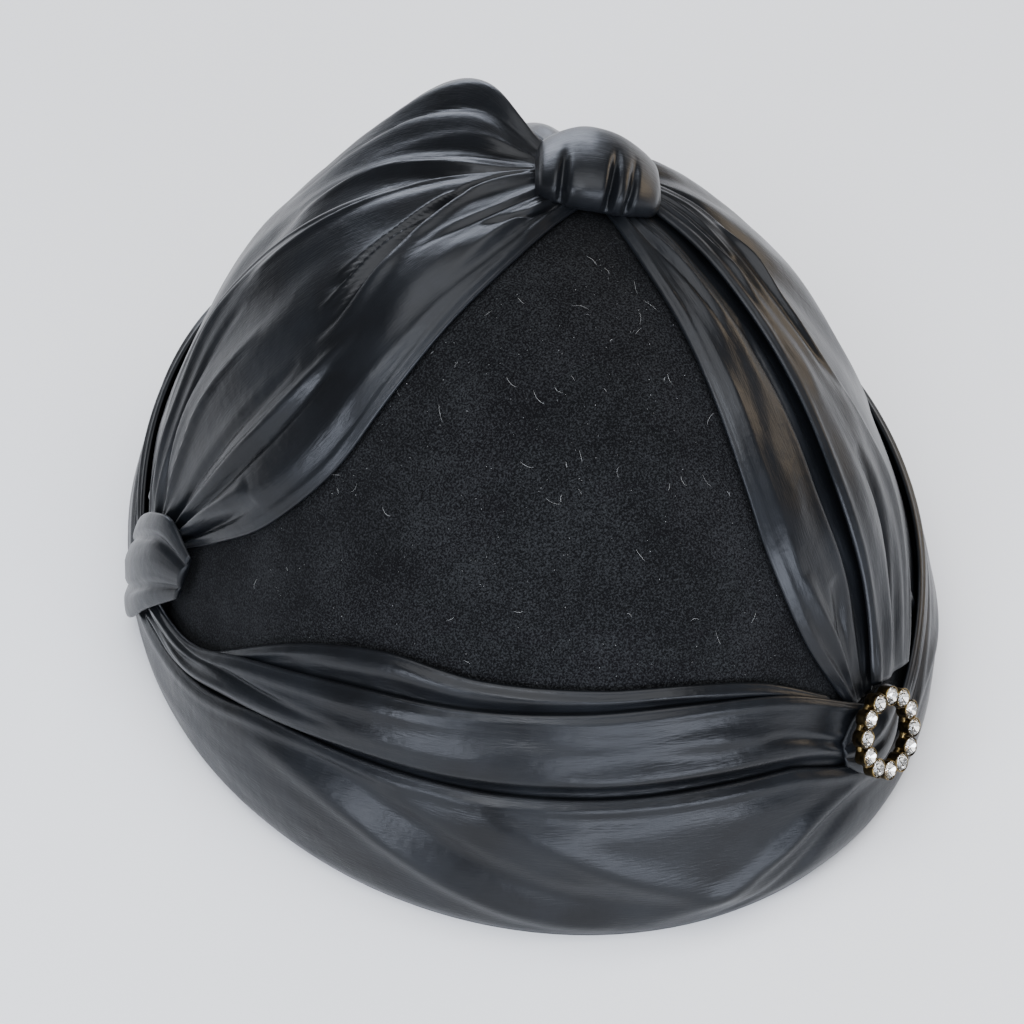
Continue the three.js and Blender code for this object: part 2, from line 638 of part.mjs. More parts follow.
async function build() {
  const { Manifold } = await Module().then((kernel) => {
    kernel.setup();
    return kernel;
  });
  const hat = new THREE.Group();
  hat.name = 'turban_hat';
  hat.add(mesh('velvet_crown', crownGeometry(), VELVET));
  hat.add(mesh('lower_band', lowerBandGeometry(), SATIN));
  hat.add(mesh('middle_band', band(MIDDLE_BAND_EDGES, MIDDLE_BAND_FOLDS, 28, 9), SATIN));
  hat.add(mesh('upper_fold', band(UPPER_FOLD_EDGES, UPPER_FOLD_FOLDS, 24, 4), SATIN));
  hat.add(mesh('rear_band', band(REAR_BAND_EDGES, REAR_BAND_FOLDS, 32, 5), SATIN));
  hat.add(mesh('left_drape', drape(LEFT_DRAPE, LEFT_DRAPE_FOLDS, 16, 12), SATIN));
  hat.add(mesh('left_rear_drape', drape(LEFT_REAR_DRAPE, LEFT_REAR_FOLDS, 14, 11), SATIN));
  hat.add(mesh('back_drape', drape(BACK_DRAPE, BACK_FOLDS, 12, 13), SATIN));
  hat.add(mesh('right_rear_drape', drape(RIGHT_REAR_DRAPE, RIGHT_REAR_FOLDS, 12, 9), SATIN));
  hat.add(mesh('right_outer_drape', drape(RIGHT_OUTER_DRAPE, RIGHT_OUTER_FOLDS, 16, 7), SATIN));
  hat.add(mesh('right_inner_drape', drape(RIGHT_INNER_DRAPE, RIGHT_INNER_FOLDS, 16, 8), SATIN));
  hat.add(mesh('top_knot', topKnotGeometry(), SATIN));
  hat.add(mesh('side_knot', pad(SIDE_KNOT, 10, 12), SATIN));
  hat.add(mesh('ring_tab', pad(RING_TAB, 8, 10), SATIN));
  hat.add(brooch(Manifold));
  return hat;
}

export default await build();
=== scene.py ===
"""Looks of the draped turban hat: satin bands and drapes over a velvet crown, with a stone ring."""

import logging
import math
from dataclasses import dataclass, field, replace
from enum import Enum
from typing import Sequence

import bpy
import numpy as np
from mathutils import Matrix, Vector


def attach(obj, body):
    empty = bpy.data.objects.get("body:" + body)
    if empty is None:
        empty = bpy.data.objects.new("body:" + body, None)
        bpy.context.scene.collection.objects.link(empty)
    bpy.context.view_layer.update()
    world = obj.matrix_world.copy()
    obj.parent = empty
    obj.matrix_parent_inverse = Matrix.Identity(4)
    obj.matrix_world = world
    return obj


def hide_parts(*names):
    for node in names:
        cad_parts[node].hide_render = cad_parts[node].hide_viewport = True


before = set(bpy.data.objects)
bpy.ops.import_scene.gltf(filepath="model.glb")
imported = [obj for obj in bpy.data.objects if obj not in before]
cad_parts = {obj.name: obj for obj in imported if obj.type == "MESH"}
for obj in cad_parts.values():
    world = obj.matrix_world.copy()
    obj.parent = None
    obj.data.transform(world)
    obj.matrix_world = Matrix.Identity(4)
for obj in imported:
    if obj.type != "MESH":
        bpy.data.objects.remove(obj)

logging.basicConfig(level=logging.INFO, format="%(message)s")
LOG = logging.getLogger("turban")

MM = 0.001
CLOTH = 1.0
Array = np.ndarray


class Side(Enum):
    """Which end of a drape a set of gathers starts from."""

    START = 0
    END = 1


# ---- the form that everything lies on -----------------------------------


@dataclass(frozen=True)
class Form:
    """The crown's outer surface, a tapered half ellipsoid, in millimetres."""

    half_width: float = 84.5
    half_length: float = 101.0
    height: float = 112.0
    taper: float = 0.035

    def point(self, unit: Array, lift: Array) -> Array:
        """Places points that stand off the form.

        Args:
            unit: unit directions, in the last axis.
            lift: distance off the form for each, in millimetres.
        Returns:
            Points in millimetres.
        """
        size = np.array([self.half_width, self.half_length, self.height])
        normal = unit / size
        normal = normal / np.linalg.norm(normal, axis=-1, keepdims=True)
        z2 = unit[..., 2:] ** 2
        waist = 1 - 4 * self.taper * z2 * (1 - z2)
        base = unit * size
        base = np.concatenate([base[..., :2] * waist, base[..., 2:]], axis=-1)
        return base + normal * np.asarray(lift)[..., None]


FORM = Form()


def direction(azimuth: Array, elevation: Array) -> Array:
    """Unit directions.

    Args:
        azimuth: degrees from the front, positive to +X.
        elevation: degrees above the rim.
    Returns:
        Unit vectors in the last axis.
    """
    a, e = np.radians(azimuth), np.radians(elevation)
    a, e = np.broadcast_arrays(a, e)
    return np.stack([np.sin(a) * np.cos(e), -np.cos(a) * np.cos(e), np.sin(e)], axis=-1)


def unit(vectors: Array) -> Array:
    """The same vectors at length one."""
    return vectors / np.linalg.norm(vectors, axis=-1, keepdims=True)


def spline(values: Array, t: Array) -> Array:
    """A smooth curve through evenly spaced values.

    Args:
        values: one row per station.
        t: places along it, 0 to 1.
    Returns:
        One row per place.
    """
    values = np.asarray(values, float)
    last = len(values) - 1
    ends = (2 * values[0] - values[1], 2 * values[-1] - values[-2])
    padded = np.concatenate([[ends[0]], values, [ends[1]]])
    place = np.clip(t, 0, 1) * last
    i = np.minimum(place.astype(int), last - 1)
    f = (place - i).reshape((-1,) + (1,) * (values.ndim - 1))
    a, b, c, d = padded[i], padded[i + 1], padded[i + 2], padded[i + 3]
    return b + 0.5 * f * (c - a + f * (2 * a - 5 * b + 4 * c - d + f * (3 * (b - c) + d - a)))


def ease(x: Array) -> Array:
    """Smooth step of a share from 0 to 1."""
    x = np.clip(x, 0, 1)
    return x * x * (3 - 2 * x)


def smooth_noise(seed: int, cells: tuple[int, int], u: Array, v: Array) -> Array:
    """Smooth seeded noise over a sheet.

    Args:
        seed: random seed.
        cells: how many cells along and across.
        u: places along, 0 to 1, one axis.
        v: places across, 0 to 1, one axis.
    Returns:
        Values from about -1 to 1, along by across.
    """
    table = np.random.default_rng(seed).uniform(-1, 1, (cells[0] + 1, cells[1] + 1))
    rows = spline(table, u)
    return spline(rows.T, v).T


# ---- folds ---------------------------------------------------------------


@dataclass(frozen=True)
class Fold:
    """How far one line across a cloth stands off the form, at four places along it."""

    at: float
    start: float
    early: float
    late: float
    end: float


@dataclass(frozen=True)
class Crease:
    """One ridge (or valley, if its height is negative) that runs along a cloth."""

    at: float
    to: float
    begin: float
    finish: float
    width: float
    height: float
    sharp: float = 1.0


@dataclass(frozen=True)
class Gather:
    """Fine pleats that run out from one end of a cloth."""

    side: Side
    count: int
    reach: float
    height: float
    seed: int


def fold_lift(folds: Sequence[Fold], s: Array, t: Array) -> Array:
    """The main folds.

    Args:
        folds: rows from the near edge to the far one.
        s: places along.
        t: places across.
    Returns:
        Lift in millimetres, along by across.
    """
    stops = np.array([[f.start, f.early, f.late, f.end] for f in folds])
    place = np.minimum(s * 3, 2.9999)
    n = place.astype(int)
    rise = ease(place - n)
    heights = stops[:, n] + (stops[:, n + 1] - stops[:, n]) * rise
    at = np.array([f.at for f in folds])
    i = np.clip(np.searchsorted(at, t, side="right") - 1, 0, len(at) - 2)
    f = ease((t - at[i]) / (at[i + 1] - at[i]))
    return (heights[i] + (heights[i + 1] - heights[i]) * f[:, None]).T


def crease_lift(creases: Sequence[Crease], s: Array, t: Array) -> Array:
    """Sum of separate ridges and valleys, along by across."""
    lift = np.zeros((len(s), len(t)))
    for row in creases:
        line = row.at + (row.to - row.at) * ease((s - row.begin) / (row.finish - row.begin))
        span = (s - row.begin) / (row.finish - row.begin)
        window = np.where((span > 0) & (span < 1), np.sin(np.pi * np.clip(span, 0, 1)) ** 0.7, 0)
        away = np.abs(t[None, :] - line[:, None]) / row.width
        lift += row.height * window[:, None] * np.exp(-(away ** (2 / row.sharp)))
    return lift


def gather_lift(gathers: Sequence[Gather], s: Array, t: Array) -> Array:
    """Fine pleats that fade away from an end, along by across."""
    lift = np.zeros((len(s), len(t)))
    for row in gathers:
        rng = np.random.default_rng(row.seed)
        away = s if row.side is Side.START else 1 - s
        for k in range(row.count):
            at = (k + 0.5 + rng.uniform(-0.34, 0.34)) / row.count
            width = rng.uniform(0.2, 0.42) / row.count
            height = row.height * rng.uniform(0.45, 1.0) * rng.choice([1, 1, -0.8])
            reach = row.reach * rng.uniform(0.5, 1.25)
            drift = rng.uniform(-0.06, 0.06)
            line = at + drift * away
            fade = np.exp(-((away / reach) ** 1.6)) * ease(away / 0.02)
            off = np.abs(t[None, :] - line[:, None]) / width
            lift += height * fade[:, None] * np.exp(-(off**1.5))
    return lift


# ---- meshes --------------------------------------------------------------


def mesh_object(name: str, points: Array, faces: Array, uv: Array | None = None) -> bpy.types.Object:
    """Makes a smooth mesh object.

    Args:
        name: the object's name.
        points: vertices in millimetres.
        faces: quads or triangles, as indices.
        uv: a place on the cloth for each vertex, in millimetres.
    Returns:
        The object, linked to the scene.
    """
    mesh = bpy.data.meshes.new(name)
    mesh.from_pydata((points * MM).tolist(), [], [list(map(int, f)) for f in faces])
    mesh.update()
    mesh.polygons.foreach_set("use_smooth", [True] * len(mesh.polygons))
    if uv is not None:
        layer = mesh.uv_layers.new(name="cloth")
        index = np.zeros(len(mesh.loops), np.int32)
        mesh.loops.foreach_get("vertex_index", index)
        layer.data.foreach_set("uv", (uv[index] * MM).astype(np.float32).ravel())
    made = bpy.data.objects.new(name, mesh)
    bpy.context.scene.collection.objects.link(made)
    return made


def outward(points: Array, faces: Array) -> Array:
    """The quads of a closed surface, turned round if they face in."""
    p = points[faces]
    half = np.cross(p[:, 1] - p[:, 0], p[:, 2] - p[:, 0])
    other = np.cross(p[:, 2] - p[:, 0], p[:, 3] - p[:, 0])
    volume = np.einsum("ij,ij->", p[:, 0], half + other)
    return faces if volume > 0 else faces[:, ::-1]


def loft(name: str, sections: Array, uv: Array, joined: bool = False) -> bpy.types.Object:
    """A closed tube of loops, with its ends capped unless it joins itself.

    Args:
        name: the object's name.
        sections: loops by points by 3, in millimetres; each loop is even in count.
        uv: loops by points by 2, in millimetres.
        joined: whether the last loop meets the first.
    Returns:
        The mesh object.
    """
    loops, count = sections.shape[:2]
    spans = loops if joined else loops - 1
    i = np.arange(spans)[:, None]
    k = np.arange(count)[None, :]
    j = (i + 1) % loops
    m = (k + 1) % count
    quads = np.stack(np.broadcast_arrays(i * count + k, i * count + m, j * count + m, j * count + k), -1)
    faces = [quads.reshape(-1, 4)]
    if not joined:
        a = np.arange(count // 2 - 1)
        cap = np.stack([a, count - 1 - a, count - 2 - a, a + 1], -1)
        faces.append(cap)
        faces.append(cap[:, ::-1] + (loops - 1) * count)
    points = sections.reshape(-1, 3)
    quads = outward(points, np.concatenate(faces))
    return mesh_object(name, points, quads, uv.reshape(-1, 2))


def spread(count: int, fine: float) -> Array:
    """Places from 0 to 1 that crowd towards both ends.

    Args:
        count: how many spans.
        fine: how strongly they crowd, 0 for none.
    Returns:
        The places, count + 1 of them.
    """
    x = np.linspace(0, 1, count + 1)
    return x - fine * np.sin(2 * np.pi * x) / (2 * np.pi)


@dataclass
class Drape:
    """A sheet of satin that runs between two edge lines on the form."""

    name: str
    near: Sequence[tuple[float, float]]
    far: Sequence[tuple[float, float]]
    folds: Sequence[Fold]
    creases: Sequence[Crease] = ()
    gathers: Sequence[Gather] = ()
    hems: tuple[float, float] = (0.5, 0.5)
    tucked: tuple[float, float] = (0.0, 0.0)
    along: int = 150
    across: int = 110
    seed: int = 1
    unrest: float = 0.35
    thick: float = CLOTH
    cut: tuple[float, float, float] = (0.0, 0.0, 0.0)

    def surface(self, s: Array, t: Array) -> tuple[Array, Array]:
        """Directions and lifts over the sheet.

        Args:
            s: places along.
            t: places across.
        Returns:
            Unit directions (along, across, 3) and lifts (along, across).
        """
        near = unit(spline(direction(*np.array(self.near).T), s))
        far = unit(spline(direction(*np.array(self.far).T), s))
        wave = smooth_noise(self.seed + 7, (5, 3), s, t) * 0.02
        across = t[None, :] + wave * np.sin(np.pi * t)[None, :]
        mixed = near[:, None] * (1 - across[..., None]) + far[:, None] * across[..., None]
        lift = fold_lift(self.folds, s, t)
        quiet = ease((t - self.tucked[0]) / 0.1) * ease((1 - self.tucked[1] - t) / 0.1)
        ends = ease(s / 0.06) * ease((1 - s) / 0.06)
        extra = crease_lift(self.creases, s, t) + gather_lift(self.gathers, s, t)
        extra += self.unrest * smooth_noise(self.seed, (9, 7), s, t)
        extra += 0.2 * self.unrest * smooth_noise(self.seed + 1, (16, 15), s, t)
        lift = lift + extra * quiet[None, :] * (0.25 + 0.75 * ends[:, None])
        width = np.linalg.norm(FORM.point(far, 0 * s) - FORM.point(near, 0 * s), axis=-1)
        for edge, height in zip((t, 1 - t), self.hems):
            away = edge[None, :] * width[:, None]
            lift = lift + height * np.exp(-(((away - 1.3) / 1.1) ** 2))
        return unit(mixed), np.maximum(lift, self.thick + 0.35)

    def build(self) -> bpy.types.Object:
        """Makes the closed sheet with rounded edges."""
        s = np.linspace(0, 1, self.along + 1)
        t = spread(self.across, 0.75)
        units, lift = self.surface(s, t)
        outer = FORM.point(units, lift)
        inner = FORM.point(units, lift - self.thick)
        turn = []
        for edge, other in ((-1, -2), (0, 1)):
            middle = (outer[:, edge] + inner[:, edge]) / 2
            out = outer[:, edge] - middle
            away = outer[:, edge] - outer[:, other]
            radius = np.linalg.norm(out, axis=-1, keepdims=True)
            away = unit(away) * radius
            angles = np.radians([45, 90, 135]) if edge else np.radians([135, 90, 45])
            arcs = [middle + out * math.cos(a) + away * math.sin(a) for a in angles]
            turn.append(np.stack(arcs, axis=1))
        sections = np.concatenate([outer, turn[0], inner[:, ::-1], turn[1]], axis=1)
        length = np.concatenate([[0], np.cumsum(np.linalg.norm(np.diff(outer[:, len(t) // 2], axis=0), axis=-1))])
        breadth = np.concatenate([[0], np.cumsum(np.linalg.norm(np.diff(outer[len(s) // 2], axis=0), axis=-1))])
        order = np.concatenate([breadth, [breadth[-1]] * 3, breadth[::-1], [0] * 3])
        uv = np.stack(np.meshgrid(order, length), axis=-1)
        return loft(self.name, sections, uv)


def piece(obj: bpy.types.Object, node: str, material: bpy.types.Material) -> bpy.types.Object:
    """Gives a made object its finish and its body, and hides the CAD node that it stands for."""
    obj.data.materials.clear()
    obj.data.materials.append(material)
    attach(obj, "root")
    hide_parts(node)
    LOG.info("made %s: %d faces", obj.name, len(obj.data.polygons))
    return obj


# ---- the cloth pieces ----------------------------------------------------


def folds(*rows: tuple[float, float, float, float, float]) -> tuple[Fold, ...]:
    """Fold rows from plain tuples of at, start, early, late and end."""
    return tuple(Fold(*row) for row in rows)


def band_rails(rows: Sequence[tuple[float, float, float]]) -> tuple[list, list]:
    """The low and high edge lines of a band from rows of azimuth, low and high."""
    return [(a, low) for a, low, _ in rows], [(a, high) for a, _, high in rows]


def drape_rails(rows: Sequence[tuple[float, float, float, float]]) -> tuple[list, list]:
    """The near and far edge lines of a drape from rows of two azimuths and elevations."""
    return [(a, e) for a, e, _, _ in rows], [(a, e) for _, _, a, e in rows]


# azimuth, low and high elevation, in degrees on the form
MIDDLE_EDGES = band_rails([
    (-101, 5.6, 11.0), (-88, 8.0, 13.8), (-76, 10.8, 19.5), (-58, 13.8, 24.8), (-40, 14.8, 27.0),
    (-22, 15.2, 28.0), (-4, 14.6, 27.4), (12, 12.0, 24.0), (26, 5.6, 16.5),
])
UPPER_EDGES = band_rails([
    (-84, 11.5, 15.0), (-69, 18.0, 25.0), (-54, 21.0, 30.0), (-38, 23.5, 30.4), (-20, 25.2, 30.4),
    (-4, 25.0, 29.4), (9, 22.6, 26.3), (20, 17.5, 20.5),
])
REAR_EDGES = band_rails([
    (37, 5.5, 11.5), (52, 8.6, 15.0), (75, 10.6, 17.5), (110, 11.8, 20.0), (145, 12.0, 20.6),
    (180, 12.0, 20.0), (215, 11.0, 18.5), (236, 7.2, 15.0), (249, 3.8, 11.0),
])
# azimuth and elevation of the hem side, then of the far side, from the top knot down
LEFT_EDGES = drape_rails([
    (97, 81, 128, 77), (-48, 83, 172, 80), (-64, 71, -151, 74), (-69, 58, -138, 63),
    (-73, 46, -131, 50), (-81, 35, -125, 37), (-90, 27, -117, 26), (-99, 19.5, -109, 17),
])
LEFT_REAR_EDGES = drape_rails([
    (131, 78, 138, 72), (-178, 82, 150, 65), (-140, 76, 156, 57), (-129, 64, 163, 49),
    (-123, 51, 170, 41), (-117, 39, 177, 33), (-111, 28, -175, 26), (-114, 15, -168, 16),
])
BACK_EDGES = drape_rails([
    (128, 75, 125, 73), (157, 69, 117, 64), (166, 61, 112, 56), (173, 52, 110, 48),
    (180, 43, 110, 40), (-173, 35, 110, 32), (-166, 27, 110, 25), (-159, 17.8, 110, 18),
])
RIGHT_REAR_EDGES = drape_rails([
    (128, 73, 114, 70), (123, 64, 90, 64), (120, 56, 74, 60), (118, 48, 63, 54),
    (118, 40, 56, 46), (118, 32, 51, 37), (118, 24, 47, 26), (118, 16.5, 50, 12.5),
])
RIGHT_OUTER_EDGES = drape_rails([
    (101, 73, 112, 69), (78, 69, 94, 61), (63, 64, 80, 57), (52, 57, 70, 53),
    (44, 49, 64, 46), (38, 40, 61, 36), (34, 28, 57, 26), (29, 17.5, 40, 14),
])
RIGHT_INNER_EDGES = drape_rails([
    (95, 78, 102, 73), (50, 74, 83, 66), (32, 65, 69, 61), (24, 56, 58, 54),
    (19.5, 47, 50, 46), (17.5, 38, 44, 37), (19, 27.5, 40, 26.5), (24, 17, 30, 16.5),
])

MIDDLE_BAND = Drape(
    "satin_middle_band", *MIDDLE_EDGES, tucked=(0.29, 0), seed=11, along=230, across=76, unrest=0.35,
    cut=(28, 204, 45.1),
    folds=folds(
        (0, 1.5, 1.5, 1.5, 1.5), (0.29, 1.5, 1.5, 1.5, 1.5), (0.45, 4.0, 4.6, 5.6, 3.4),
        (0.64, 3.0, 5.2, 4.9, 3.2), (0.84, 4.0, 4.6, 3.9, 3.0), (1, 3.2, 3.3, 3.2, 3.0),
    ),
    creases=(
        Crease(0.95, 0.6, 0.04, 0.38, 0.05, -1.3), Crease(0.6, 0.5, 0.04, 0.34, 0.06, 0.8),
        Crease(0.62, 0.5, 0.82, 0.99, 0.05, -1.0),
    ),
    gathers=(Gather(Side.END, 7, 0.07, 1.0, 3), Gather(Side.START, 6, 0.1, 0.9, 4)),
)
UPPER_FOLD = Drape(
    "satin_upper_fold", *UPPER_EDGES, tucked=(0.56, 0), seed=21, along=190, across=44, unrest=0.25,
    cut=(19, 160, 19.1),
    folds=folds(
        (0, 1.5, 1.5, 1.5, 1.5), (0.56, 1.5, 1.5, 1.5, 1.5), (0.8, 1.5, 3.4, 2.6, 1.5),
        (1, 1.5, 2.2, 2.0, 1.5),
    ),
)
REAR_BAND = Drape(
    "satin_rear_band", *REAR_EDGES, tucked=(0.35, 0), seed=31, along=260, across=56, unrest=0.5,
    cut=(19, 341, 56.7),
    folds=folds(
        (0, 1.5, 1.5, 1.5, 1.5), (0.35, 1.5, 1.5, 1.5, 1.5), (0.53, 3.2, 3.8, 4.0, 2.6),
        (0.8, 3.4, 4.4, 4.2, 2.6), (1, 3.2, 3.7, 3.7, 2.6),
    ),
    creases=(Crease(0.72, 0.66, 0.05, 0.95, 0.05, -0.8), Crease(0.5, 0.9, 0.3, 0.8, 0.06, 0.8)),
    gathers=(Gather(Side.START, 7, 0.14, 1.0, 5), Gather(Side.END, 7, 0.1, 0.9, 6)),
)
LEFT_DRAPE = Drape(
    "satin_left_drape", *LEFT_EDGES, seed=41, along=220, across=140, unrest=0.55,
    cut=(72, 136, 67.4),
    folds=folds(
        (0, 1.8, 2.2, 2.4, 2.0), (0.12, 2.6, 4.4, 5.2, 3.0), (0.3, 3.0, 5.6, 4.2, 2.2),
        (0.45, 2.6, 5.0, 3.8, 3.2), (0.58, 3.4, 4.2, 4.8, 2.2), (0.72, 2.6, 3.6, 4.6, 3.2),
        (0.88, 3.4, 4.2, 5.6, 3.0), (1, 3.0, 3.4, 4.6, 3.0),
    ),
    creases=(
        Crease(0.92, 0.42, 0.08, 0.52, 0.022, -2.0), Crease(0.86, 0.36, 0.08, 0.52, 0.05, 1.2),
        Crease(0.80, 0.60, 0.2, 0.46, 0.018, 1.3), Crease(0.76, 0.56, 0.22, 0.48, 0.016, -1.2),
        Crease(0.66, 0.50, 0.3, 0.5, 0.016, 1.2), Crease(1.0, 0.88, 0.1, 0.6, 0.022, 1.1),
        Crease(0.30, 0.26, 0.44, 0.99, 0.026, 1.7), Crease(0.25, 0.2, 0.5, 0.99, 0.018, -1.4),
        Crease(0.38, 0.36, 0.55, 0.99, 0.02, -1.3), Crease(0.62, 0.5, 0.6, 0.99, 0.022, 1.2),
        Crease(0.80, 0.66, 0.62, 0.99, 0.02, -1.2), Crease(0.95, 0.8, 0.5, 0.99, 0.03, 1.0),
        Crease(0.08, 0.09, 0.7, 0.985, 0.022, -2.2), Crease(0.15, 0.15, 0.7, 0.99, 0.03, 1.7),
        Crease(0.16, 0.4, 0.02, 0.2, 0.03, -1.6), Crease(0.3, 0.2, 0.02, 0.3, 0.05, 0.8),
        Crease(0.5, 0.46, 0.02, 0.34, 0.02, -0.5), Crease(0.56, 0.52, 0.02, 0.3, 0.02, 0.5),
    ),
    gathers=(Gather(Side.START, 13, 0.12, 0.7, 7), Gather(Side.END, 10, 0.14, 1.1, 8)),
)
LEFT_REAR_DRAPE = Drape(
    "satin_left_rear_drape", *LEFT_REAR_EDGES, tucked=(0.18, 0), seed=51, along=160, across=110,
    cut=(99, 126, 90.8),
    folds=folds(
        (0, 1.5, 1.5, 1.5, 1.5), (0.18, 1.5, 1.5, 1.5, 1.5), (0.3, 1.8, 4.0, 1.8, 1.5),
        (0.4, 1.6, 2.8, 3.0, 1.5), (0.58, 2.2, 9.0, 4.6, 1.8), (0.76, 3.0, 14.5, 6.0, 3.0),
        (0.9, 3.0, 8.5, 5.6, 3.0), (1, 3.0, 3.4, 4.4, 3.0),
    ),
    creases=(
        Crease(0.22, 0.3, 0.05, 0.6, 0.02, 1.3), Crease(0.36, 0.36, 0.05, 0.6, 0.02, -1.2),
        Crease(0.5, 0.44, 0.06, 0.5, 0.025, 0.9), Crease(0.74, 0.62, 0.1, 0.7, 0.03, 1.0),
        Crease(0.66, 0.54, 0.1, 0.7, 0.02, -1.1),
    ),
    gathers=(Gather(Side.START, 9, 0.14, 0.7, 9), Gather(Side.END, 8, 0.15, 0.9, 10)),
)
BACK_DRAPE = Drape(
    "satin_back_drape", *BACK_EDGES, tucked=(0.25, 0.27), seed=61, along=130, across=110,
    cut=(149, 95, 71.6),
    folds=folds(
        (0, 1.5, 1.5, 1.5, 1.5), (0.25, 1.5, 1.5, 1.5, 1.5), (0.38, 1.5, 4.2, 4.4, 1.5),
        (0.49, 1.5, 3.0, 2.0, 1.5), (0.58, 1.5, 3.6, 4.0, 1.5), (0.66, 1.5, 2.2, 2.2, 1.5),
        (0.73, 1.5, 1.5, 1.5, 1.5), (1, 1.5, 1.5, 1.5, 1.5),
    ),
    gathers=(Gather(Side.START, 12, 0.2, 0.5, 11), Gather(Side.END, 14, 0.16, 0.8, 12)),
)
RIGHT_REAR_DRAPE = Drape(
    "satin_right_rear_drape", *RIGHT_REAR_EDGES, tucked=(0, 0.38), seed=71, along=130, across=100,
    cut=(127, 104, 80.2),
    folds=folds(
        (0, 3.0, 3.0, 3.0, 2.0), (0.2, 3.0, 4.4, 4.6, 2.0), (0.34, 1.8, 3.2, 4.2, 1.8),
        (0.48, 1.6, 3.6, 4.2, 1.8), (0.62, 1.5, 1.5, 1.5, 1.5), (1, 1.5, 1.5, 1.5, 1.5),
    ),
    gathers=(Gather(Side.START, 10, 0.25, 0.8, 13), Gather(Side.END, 10, 0.2, 0.8, 14)),
)
RIGHT_OUTER_DRAPE = Drape(
    "satin_right_outer_drape", *RIGHT_OUTER_EDGES, seed=81, along=180, across=80, unrest=0.45,
    cut=(37, 129, 30.9),
    folds=folds(
        (0, 3.0, 4.6, 5.6, 3.4), (0.26, 3.2, 5.2, 6.0, 4.0), (0.55, 3.0, 4.4, 5.2, 3.2),
        (0.84, 3.2, 4.8, 4.4, 3.8), (1, 3.0, 3.0, 3.0, 3.0),
    ),
    creases=(
        Crease(0.95, 0.92, 0.24, 0.62, 0.045, -2.2), Crease(0.84, 0.82, 0.2, 0.66, 0.05, 1.4),
        Crease(0.3, 0.36, 0.02, 0.4, 0.04, -0.8), Crease(0.55, 0.5, 0.02, 0.3, 0.04, 0.7),
        Crease(0.5, 0.42, 0.72, 0.99, 0.05, -1.6),
    ),
    gathers=(Gather(Side.START, 6, 0.14, 0.7, 15), Gather(Side.END, 6, 0.1, 1.2, 16)),
)
RIGHT_INNER_DRAPE = Drape(
    "satin_right_inner_drape", *RIGHT_INNER_EDGES, tucked=(0, 0.2), seed=91, along=190, across=90,
    unrest=0.45,
    cut=(36, 128, 35.1),
    folds=folds(
        (0, 1.8, 2.2, 2.4, 1.5), (0.16, 2.4, 4.2, 4.6, 1.5), (0.42, 2.2, 4.6, 5.0, 1.5),
        (0.66, 1.5, 2.4, 2.4, 1.5), (0.8, 1.5, 1.5, 1.5, 1.5), (1, 1.5, 1.5, 1.5, 1.5),
    ),
    creases=(
        Crease(0.66, 0.62, 0.36, 0.97, 0.04, -2.4), Crease(0.54, 0.52, 0.34, 0.97, 0.05, 0.9),
        Crease(0.3, 0.42, 0.02, 0.34, 0.03, 0.8), Crease(0.22, 0.34, 0.02, 0.36, 0.025, -0.9),
        Crease(0.5, 0.6, 0.02, 0.4, 0.03, -0.9), Crease(0.4, 0.3, 0.8, 0.99, 0.06, -1.6),
        Crease(0.18, 0.24, 0.76, 0.99, 0.05, 1.2),
    ),
    gathers=(Gather(Side.START, 7, 0.12, 0.7, 17), Gather(Side.END, 6, 0.1, 1.2, 18)),
)


